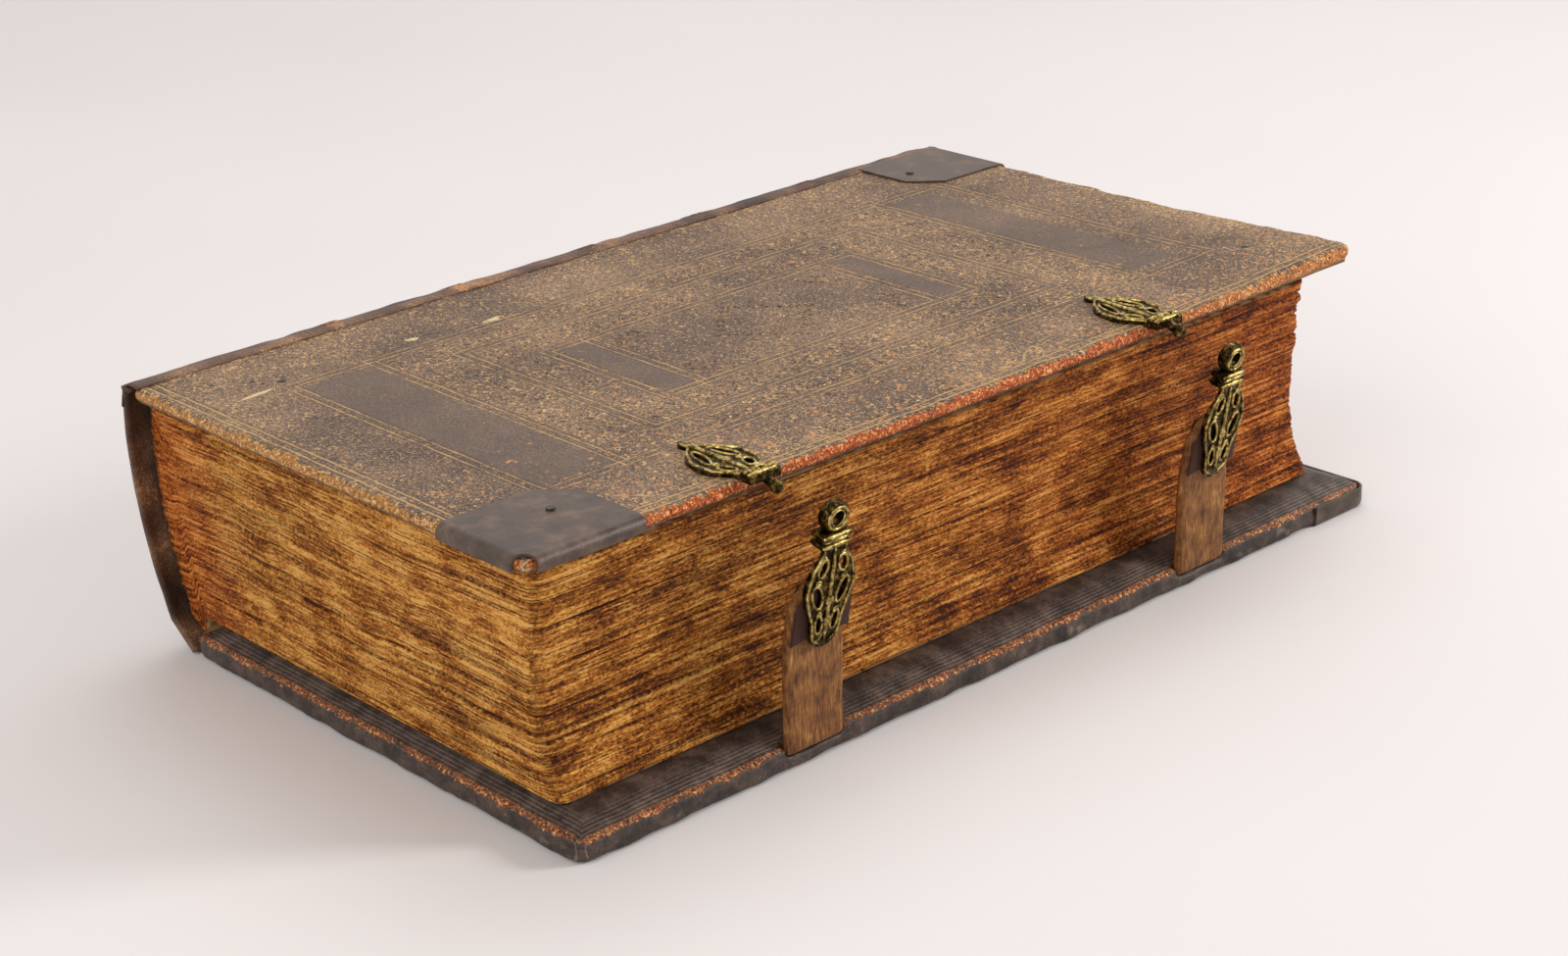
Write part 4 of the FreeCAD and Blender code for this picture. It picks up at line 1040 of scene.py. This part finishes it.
def lobedStamp(reach, lobes, depth, height):
    # a low rosette: reach in millimetres, its lobes, how deep they are cut, how high it stands
    count = 16
    points, faces = [(0, 0, height * mm)], []
    for share, up in ((0.45, height), (0.85, height * 0.8), (1.0, -0.4)):
        for step in range(count):
            angle = 2 * math.pi * step / count
            radius = reach * share * (1 - depth * (0.5 - 0.5 * math.cos(lobes * angle)))
            points.append((radius * math.cos(angle) * mm, radius * math.sin(angle) * mm, up * mm))
    for step in range(count):
        following = (step + 1) % count
        faces.append((0, 1 + step, 1 + following))
        for ring in (0, 1):
            first = 1 + ring * count
            faces.append((first + step, first + count + step, first + count + following, first + following))
    return points, faces


def ringShape(reach, bar, sides=10, around=5):
    # a ring about the X axis
    points = []
    for step in range(sides):
        angle = 2 * math.pi * step / sides
        for turn in range(around):
            tilt = 2 * math.pi * turn / around
            radius = reach + bar * math.cos(tilt)
            points.append((bar * math.sin(tilt) * mm, radius * math.cos(angle) * mm,
                           radius * math.sin(angle) * mm))
    faces = []
    for step in range(sides):
        for turn in range(around):
            a, b = step * around + turn, step * around + (turn + 1) % around
            c, d = (step + 1) % sides * around + (turn + 1) % around, (step + 1) % sides * around + turn
            faces.append((a, d, c, b))
    return points, faces


def beadShape(radius, rows=4, around=8):
    points, faces = [(0, 0, radius * mm)], []
    for row in range(1, rows):
        polar = math.pi * row / rows
        for step in range(around):
            angle = 2 * math.pi * step / around
            points.append((radius * math.sin(polar) * math.cos(angle) * mm,
                           radius * math.sin(polar) * math.sin(angle) * mm, radius * math.cos(polar) * mm))
    points.append((0, 0, -radius * mm))
    last = len(points) - 1
    for step in range(around):
        following = (step + 1) % around
        faces.append((0, 1 + step, 1 + following))
        for row in range(rows - 2):
            first = 1 + row * around
            faces.append((first + step, first + around + step, first + around + following, first + following))
        first = 1 + (rows - 2) * around
        faces.append((first + step, last, first + following))
    return points, faces


# tooled stamps of the upper cover

stamps = {
    "lozengeCentre": (2.5, -15.75), "lozengeHalf": 21.0, "lozengeSide": 6,
    "rosetteReach": 2.6, "rosetteRise": 0.28,
    "palmettes": ((97.5, -70), (97.5, -54), (97.5, -37), (97.5, -19), (97.5, 33), (97.5, 51),
                  (74.5, -49), (74.5, -33), (74.5, -15), (74.5, 2)),
    "palmetteReach": 5.2, "rollStep": 5.4, "rollReach": 1.7,
}


def onCover(spots):
    # the height of the upper cover's face at each spot, in metres
    bpy.context.view_layer.update()
    placed = []
    for x, y in spots:
        hit, where, _, _ = upperLeather.ray_cast(Vector((x * mm, y * mm, 0.2)), Vector((0, 0, -1)))
        placed.append((x * mm, y * mm, where.z if hit else topFace * mm))
    return placed


def makeStamps():
    cx, cy = stamps["lozengeCentre"]
    half, side = stamps["lozengeHalf"], stamps["lozengeSide"]
    lozenge = []
    for corner in range(4):
        a, b = math.pi / 2 * corner, math.pi / 2 * (corner + 1)
        for step in range(side):
            t = step / side
            lozenge.append((cx + half * (math.cos(a) * (1 - t) + math.cos(b) * t),
                            cy + half * (math.sin(a) * (1 - t) + math.sin(b) * t)))
    fans = []
    for x, sx in ((-24.0, 1), (29.0, -1)):
        for y, sy in ((-66.0, 1), (34.0, -1)):
            for ring, count in ((7.0, 3), (13.0, 4)):
                for step in range(count):
                    angle = math.pi / 2 * (step + 0.5) / count
                    fans.append((x + sx * ring * math.cos(angle), y + sy * ring * math.sin(angle)))
    rosettes = lozenge + fans
    pieces = [setCopies("coverRosettes", onCover(rosettes), [(0, 0, 0.4 * n) for n in range(len(rosettes))],
                        lobedStamp(stamps["rosetteReach"], 4, 0.4, stamps["rosetteRise"]), upperCalf,
                        0.85, 1.1, 4)]
    palms = stamps["palmettes"]
    pieces.append(setCopies("coverPalmettes", onCover(palms), [(0, 0, math.pi / 2)] * len(palms),
                            lobedStamp(stamps["palmetteReach"], 5, 0.35, stamps["rosetteRise"]), upperCalf,
                            0.9, 1.05, 5))
    rolls = []
    for x0, x1, y0, y1 in upperBands:
        wide, tall = x1 - x0, y1 - y0
        count = int(max(wide, tall) / stamps["rollStep"])
        for step in range(count):
            t = (step + 0.5) / count
            if wide > tall:
                rolls += [(x0 + wide * t, y0 + tall * share) for share in (0.3, 0.7)]
            else:
                rolls += [(x0 + wide * share, y0 + tall * t) for share in (0.3, 0.7)]
    pieces.append(setCopies("coverRollTool", onCover(rolls), [(0, 0, 0.8 * n) for n in range(len(rolls))],
                            lobedStamp(stamps["rollReach"], 3, 0.45, 0.22), upperCalf, 0.7, 1.1, 6))
    for piece in pieces:
        setPiece(piece, "upper_cover", "leather")


makeStamps()
print("stamps set")


# straps and patches

strapForm = {
    "axisX": 106.65, "axisZ": 7.2, "halfThick": 2.2, "halfWide": 12.45, "bend": 35.4, "end": 59.4,
    "chamfer": 8.0,
    "lean": 2.5, "claspLean": 9.5, "patchStart": 38.0, "patchSag": 2.4, "patchThick": 1.0, "stations": 70,
    "across": 30,
}


def strapTurned(points, place):
    # from the strap's own axes to the book's: bent outward above the bend, then leaned and moved to its foot
    form = strapForm
    points = np.asarray(points, float)
    upper = math.radians(form["claspLean"])
    x, y, z = points[:, 0], points[:, 1], points[:, 2] - form["bend"]
    bentX = x * math.cos(upper) + z * math.sin(upper)
    bentZ = -x * math.sin(upper) + z * math.cos(upper)
    share = ease(form["bend"] - 2.5, form["bend"] + 1.0, points[:, 2])
    x, z = x + (bentX - x) * share, z + (bentZ - z) * share + form["bend"]
    lean = math.radians(form["lean"])
    return np.column_stack((x * math.cos(lean) + z * math.sin(lean) + form["axisX"], y + place,
                            -x * math.sin(lean) + z * math.cos(lean) + form["axisZ"]))


def leatherStrip(name, place, low, high, backX, frontX, sag, material, seed):
    # a strip with rounded, frayed edges between two faces, chamfered at its top
    form = strapForm
    count = form["across"]
    half = (frontX - backX) / 2
    points = []
    for row in range(form["stations"]):
        t = row / (form["stations"] - 1)
        for step in range(2 * count):
            side = 1 if step < count else -1
            share = (step % count) / (count - 1) * 2 - 1
            share *= side
            z = low + (high - low) * t + (1 - t) ** 3 * sag * (1 - abs(share))
            wide = form["halfWide"] - max(0.0, z - (form["end"] - form["chamfer"])) * 0.9
            roundOff = math.sqrt(max(0.0, 1 - abs(share) ** 10))
            endOff = math.sqrt(max(0.0, 1 - abs(2 * t - 1) ** 60))
            points.append(((backX + frontX) / 2 + side * half * roundOff * endOff, wide * share, z))
    points = np.array(points)
    fray = softNoise(points / (2.0, 2.0, 5.0), seed) * 0.22 + softNoise(points / 0.9, seed + 1) * 0.08
    points[:, 1] += fray * np.sign(points[:, 1]) * (abs(points[:, 1]) > 9) * 1.2
    points[:, 0] += fray * 0.5
    if low < 1:
        foot = np.clip(1 - (points[:, 2] + form["halfThick"]) / form["halfThick"], 0, 1)
        points[:, 0] *= np.sqrt(1 - foot ** 2 * 0.9)
    faces = gridFaces(form["stations"], 2 * count, ringCols=True)
    faces.append(tuple(reversed(range(2 * count))))
    last = (form["stations"] - 1) * 2 * count
    faces.append(tuple(range(last, last + 2 * count)))
    return meshPiece(name, strapTurned(points, place) * mm, faces, material, weld=0.00002)


for end, place in strapPlaces.items():
    strip = leatherStrip("strapLeather_" + end, place, -strapForm["halfThick"], strapForm["end"],
                         -strapForm["halfThick"], strapForm["halfThick"], 0.0, strapMaterial, 41)
    setPiece(strip, "strap_" + end, "strap_leather", "strap_" + end)
    patch = leatherStrip("strapPatch_" + end, place, strapForm["patchStart"], strapForm["end"],
                         strapForm["halfThick"] - 0.1, strapForm["halfThick"] + strapForm["patchThick"] - 0.02,
                         strapForm["patchSag"], patchMaterial, 51)
    setPiece(patch, "strap_" + end, "patch_leather", "strap_patch_" + end)
print("straps made")


# cast relief of the clasps and catch plates: raised rims, ribs and mouldings on the openwork leaves

relief = {
    "claspLength": 38.2, "claspHalf": 10.5, "claspFace": 4.65, "claspStart": 35.4,
    "claspOutline": ((0.1, 0.55), (0.28, 0.64), (0.42, 0.84), (0.58, 1.0), (0.78, 0.82), (0.9, 0.5),
                     (1.0, 0.44)),
    "claspOpenings": ((0.24, 0.32, 0.16, 0.22, 8), (0.52, 0.5, 0.22, 0.3, 18), (0.79, 0.4, 0.15, 0.26, -14)),
    "catchLength": 38.0, "catchHalf": 10.0, "catchFace": 1.3,
    "catchOutline": ((0.08, 0.17), (0.17, 0.15), (0.27, 0.55), (0.48, 1.0), (0.72, 0.96), (0.9, 0.52),
                     (1.0, 0.44)),
    "catchOpenings": ((0.44, 0.44, 0.3, 0.24, 14), (0.76, 0.44, 0.15, 0.26, -20)),
    "catchX": 71.8, "catchPivot": 36.7, "rim": 0.55, "rib": 0.8,
    # across the neck and the collar: place along, half width, thickness
    "neckBars": ((73.4, 5.9, 0.95), (75.2, 5.0, 0.7), (76.8, 5.9, 0.95)),
    "collarBars": ((40.6, 6.2, 0.9), (36.9, 6.0, 0.6)),
    # rings of the eye: their distance from the strap, their radius and thickness
    "eyeHeight": 82.45, "eyeRings": ((4.3, 3.9, 0.6), (4.2, 2.75, 0.35)),
    "beadAlong": 38.7, "beadReach": 5.4, "beadCount": 8, "beadRadius": 0.85,
}


def barPiece(name, paths, material):
    # round bars along paths of points; each path has its radius and whether it closes
    points, faces = [], []
    around = 7
    for line, radius, closed in paths:
        line = np.array(line, float)
        tangent = np.gradient(line, axis=0) if not closed else np.roll(line, -1, 0) - np.roll(line, 1, 0)
        tangent /= np.linalg.norm(tangent, axis=1)[:, None] + 1e-9
        guide = np.array((0.31, 0.17, 0.94)) if abs(tangent[:, 2]).max() < 0.9 else np.array((0.95, 0.23, 0.2))
        sideways = np.cross(tangent, guide)
        sideways /= np.linalg.norm(sideways, axis=1)[:, None] + 1e-9
        upward = np.cross(sideways, tangent)
        first = len(points)
        count = len(line)
        for n in range(count):
            taper = 1.0 if closed else min(1.0, 0.45 + 0.55 * min(n, count - 1 - n) / 2.0)
            for step in range(around):
                angle = 2 * math.pi * step / around
                outward = math.cos(angle) * sideways[n] + math.sin(angle) * upward[n]
                points.append(line[n] + radius * taper * outward)
        rows = count if closed else count - 1
        for n in range(rows):
            for step in range(around):
                a, b = first + n * around + step, first + n * around + (step + 1) % around
                c = first + (n + 1) % count * around + (step + 1) % around
                d = first + (n + 1) % count * around + step
                faces.append((a, b, c, d))
        if not closed:
            faces.append(tuple(reversed(range(first, first + around))))
            faces.append(tuple(range(first + (count - 1) * around, first + count * around)))
    return meshPiece(name, np.array(points) * mm, faces, material, weld=0.000001)


def leafRelief(kind):
    # paths on the leaf's face: along and across, in millimetres
    length, half, outline, openings = [
        relief[kind + part] for part in ("Length", "Half", "Outline", "Openings")]
    along = [0.0] + [a for a, b in outline]
    across = [0.0] + [b for a, b in outline]
    steps = np.linspace(0.04, 0.98, 30)
    paths = []
    for side in (1, -1):
        shares = np.interp(steps, along, across)
        outer = [(length * s, side * (half * w - 0.45)) for s, w in zip(steps, shares)]
        paths.append((outer, relief["rim"], False))
        for a, b, longShare, wideShare, turn in openings:
            major, minor = length * longShare / 2 + 0.45, half * wideShare / 2 + 0.45
            angle = math.radians(side * turn)
            ring = []
            for n in range(20):
                t = 2 * math.pi * n / 20
                u, v = major * math.cos(t), minor * math.sin(t)
                ring.append((length * a + u * math.cos(angle) - v * math.sin(angle),
                             side * b * half + u * math.sin(angle) + v * math.cos(angle)))
            paths.append((ring, relief["rim"] * 0.9, True))
            curl = []
            for n in range(14):
                t = 3.4 * math.pi * n / 13
                radius = minor * 0.85 * (1 - n / 18)
                curl.append((length * a + length * longShare * 0.62 + radius * math.cos(t) * 0.8,
                             side * (b * half + radius * math.sin(t) * 0.8)))
            paths.append((curl, relief["rim"] * 0.75, False))
    paths.append(([(length * s, 0.0) for s in np.linspace(0.06, 0.95, 14)], relief["rib"], False))
    return paths


def circlePath(centre, radius, count=24):
    return [(centre[0], centre[1] + radius * math.cos(2 * math.pi * n / count),
             centre[2] + radius * math.sin(2 * math.pi * n / count)) for n in range(count)]


for end, place in strapPlaces.items():
    face, start = relief["claspFace"], relief["claspStart"]
    paths = []
    for line, radius, closed in leafRelief("clasp"):
        paths.append(([(face + 0.1, q, start + p) for p, q in line], radius, closed))
    for height, wide, bar in relief["neckBars"]:
        paths.append(([(face + 0.35, q, height) for q in np.linspace(-wide, wide, 9)], bar, False))
    for away, radius, bar in relief["eyeRings"]:
        paths.append((circlePath((away, 0, relief["eyeHeight"]), radius), bar, True))
    paths = [(strapTurned(line, place), radius, closed) for line, radius, closed in paths]
    cast = barPiece("claspRelief_" + end, paths, rubbedBrass)
    setPiece(cast, "strap_" + end, "clasp_metal")

catchPlaces = {"tail": (-115.3, -1.0), "head": (70.2, -4.0)}
for end, (place, turn) in catchPlaces.items():
    angle = math.radians(turn)
    pivot = relief["catchPivot"]

    def onCatch(x, y, z):
        u = x - pivot
        return (pivot + u * math.cos(angle) - y * math.sin(angle) + relief["catchX"],
                u * math.sin(angle) + y * math.cos(angle) + place, z + topFace)

    paths = []
    for line, radius, closed in leafRelief("catch"):
        paths.append(([onCatch(p, q, relief["catchFace"] + 0.1) for p, q in line], radius, closed))
    for along, wide, bar in relief["collarBars"]:
        paths.append(([onCatch(along, q, 2.9) for q in np.linspace(-wide, wide, 9)], bar, False))
    cast = barPiece("catchRelief_" + end, paths, rubbedBrass)
    setPiece(cast, "upper_cover", "clasp_metal")
    reach, count = relief["beadReach"], relief["beadCount"]
    row = [onCatch(relief["beadAlong"], q, 3.1) for q in np.linspace(-reach, reach, count)]
    beads = setCopies("catchBeads_" + end, np.array(row) * mm, [(0, 0, 0)] * count,
                      beadShape(relief["beadRadius"]), rubbedBrass, 0.95, 1.05, 7)
    setPiece(beads, "upper_cover", "clasp_metal")
print("brass relief set")


# head band: a roll wound with thread, each turn a small ring

headBand = {"radius": 1.9, "thread": 0.42, "pitch": 1.0, "low": 16.5, "high": 91.5, "stand": 2.2}


def makeHeadBand():
    form = blockForm
    heights = np.arange(headBand["low"], headBand["high"], headBand["pitch"])
    share = (heights - book["blockLow"]) / book["blockHeight"]
    radius = form["spineRadius"] - headBand["stand"]
    x = form["spineCentre"] - np.sqrt(radius ** 2 - (heights - form["spineHeight"]) ** 2)
    y = blockEnds(share)[1] + headBand["stand"]
    slope = np.arctan2(np.gradient(x), np.gradient(heights))
    places = np.column_stack((x, y, heights)) * mm
    turns = [(0.0, -math.pi / 2 + angle, 0.0) for angle in slope]
    wound = setCopies("headBandThread", places, turns, ringShape(headBand["radius"], headBand["thread"]),
                      bandThread, 0.94, 1.06, 8)
    core = barPiece("headBandCore", [(places / mm, headBand["radius"], False)], bandThread)
    for piece in (wound, core):
        setPiece(piece, "text_block", "band_silk", "head_band")


bandThread = plainFibre("woundThread", "#5f4526", "#b08d5b", (1 / 0.6, 1 / 0.6, 1 / 2.0), 0.3)
makeHeadBand()


# paper linings: pastedowns inside the covers and the comb lining between the cords

paperForm = {"inset": 19.0, "cockle": 0.14, "cockleSize": 34.0, "thickness": 0.5, "seat": 0.35,
             "cordGap": 4.0, "combRadius": 150.2, "endGap": 0.6}


def makePastedown(name, thickness, flip):
    halfX, halfY = coverHalf[0] - paperForm["inset"] - 0.5, coverHalf[1] - paperForm["inset"] - 0.5
    xs, ys = np.linspace(-halfX, halfX, 36), np.linspace(-halfY, halfY, 64)
    a, b = [g.ravel() for g in np.meshgrid(xs, ys, indexing="ij")]
    flat = np.column_stack((a, b, np.zeros(len(a))))
    up = thickness - paperForm["seat"] + softNoise(flat / paperForm["cockleSize"], 61) * paperForm["cockle"]
    flat[:, 2] = up
    points = turnedOver(flat) if flip else flat
    piece = meshPiece(name, points * mm, gridFaces(36, 64), liningPaper)
    return thicken(piece, paperForm["thickness"], 1.0 if flip else -1.0)


lowerPaper = makePastedown("lowerPastedown", book["lowerThickness"], False)
setPiece(lowerPaper, "lower_cover", "lining_paper", "lower_pastedown")
upperPaper = makePastedown("upperPastedown", book["upperThickness"], True)
setPiece(upperPaper, "upper_cover", "lining_paper", "upper_pastedown")


def makeLining():
    form = blockForm
    gap = paperForm["cordGap"]
    edges = [-1000.0] + [band + side for band in spineForm["bands"] for side in (-gap, gap)] + [1000.0]
    heights = np.linspace(12.8, 96.0, 40)
    share = (heights - book["blockLow"]) / book["blockHeight"]
    tail, head = blockEnds(share)
    tail, head = tail + paperForm["endGap"], head - paperForm["endGap"]
    x = form["spineCentre"] - np.sqrt(paperForm["combRadius"] ** 2 - (heights - form["spineHeight"]) ** 2)
    points, faces = [], []
    for low, high in zip(edges[0::2], edges[1::2]):
        first = len(points)
        for t in np.linspace(0, 1, 12):
            y = np.maximum(tail, low) + (np.minimum(head, high) - np.maximum(tail, low)) * t
            rough = softNoise(np.column_stack((x, y, heights)) / 9.0, 62) * 0.12
            points += list(zip(x + rough, y, heights))
        faces += gridFaces(12, 40, first=first)
    piece = meshPiece("combLining", np.array(points) * mm, faces, combPaper)
    thicken(piece, paperForm["thickness"], 0.0)
    setPiece(piece, "text_block", "lining_paper", "spine_lining")


combPaper = plainFibre("combPaper", "#2d1d10", "#5a4328", (1 / 9.0, 1 / 9.0, 1 / 9.0), 0.2)
makeLining()
print("band and papers made")


# the cover leather runs on over the upper joint into the spine

hingeForm = {
    "profile": ((-103.5, 104.05), (-106.5, 104.35), (-109.0, 104.15), (-111.0, 103.3), (-112.9, 101.6),
                (-113.9, 98.8), (-114.9, 95.2)),
    "rows": 200, "endGap": 0.9, "bandBump": 0.9, "crease": 0.3, "thickness": 0.6,
    "bendStart": (-0.1065, 0, 0.1042), "bendEnd": (-0.1105, 0, 0.1032),
}


def makeHinge():
    profile, rows, endGap = hingeForm["profile"], hingeForm["rows"], hingeForm["endGap"]
    points = []
    for t in np.linspace(0, 1, rows):
        for n, (x, z) in enumerate(profile):
            y = -coverHalf[1] + endGap + 2 * (coverHalf[1] - endGap) * t - book["upperShift"]
            near = min(abs(y - band) for band in spineForm["bands"])
            bump = hingeForm["bandBump"] * float(1 - ease(3.0, 9.0, near)) * min(1.0, n / 3.0)
            crease = float(softNoise([(x / 3.0, y / 4.0, 1.0)], 71)[0]) * hingeForm["crease"]
            outward = (bump + crease) * (0.3 if n < 2 else 1.0)
            points.append((x - outward * 0.6, y, z + outward * 0.6))
    piece = meshPiece("jointLeather", np.array(points) * mm, gridFaces(rows, len(profile)), spineCalf)
    thicken(piece, hingeForm["thickness"], -1.0)
    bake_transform(piece)


makeHinge()
print("joint leather made")


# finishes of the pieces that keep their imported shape

finishes = (
    (oakBoard, ("lower_board", "upper_board")),
    (sheetIron, ("corner_piece_lower_head", "corner_piece_upper_tail", "corner_piece_upper_head")),
    (nailIron, ("corner_nail_lower", "corner_nails_upper", "strap_nails")),
    (strapMaterial, ("strap_root_tail", "strap_root_head")),
    (darkBrass, ("catch_plate_tail", "catch_plate_head", "clasp_tail", "clasp_head", "clasp_back_tail",
                 "clasp_back_head")),
    (rubbedBrass, ("catch_pins", "clasp_rivets_tail", "clasp_rivets_head")),
    (hempCord, ["sewing_cord_%d" % number for number in range(1, 6)]),
)
for material, names in finishes:
    for name in names:
        nodes[name].data.materials.clear()
        nodes[name].data.materials.append(material)
print("finishes set")

bpy.context.scene.view_settings.view_transform = "Standard"
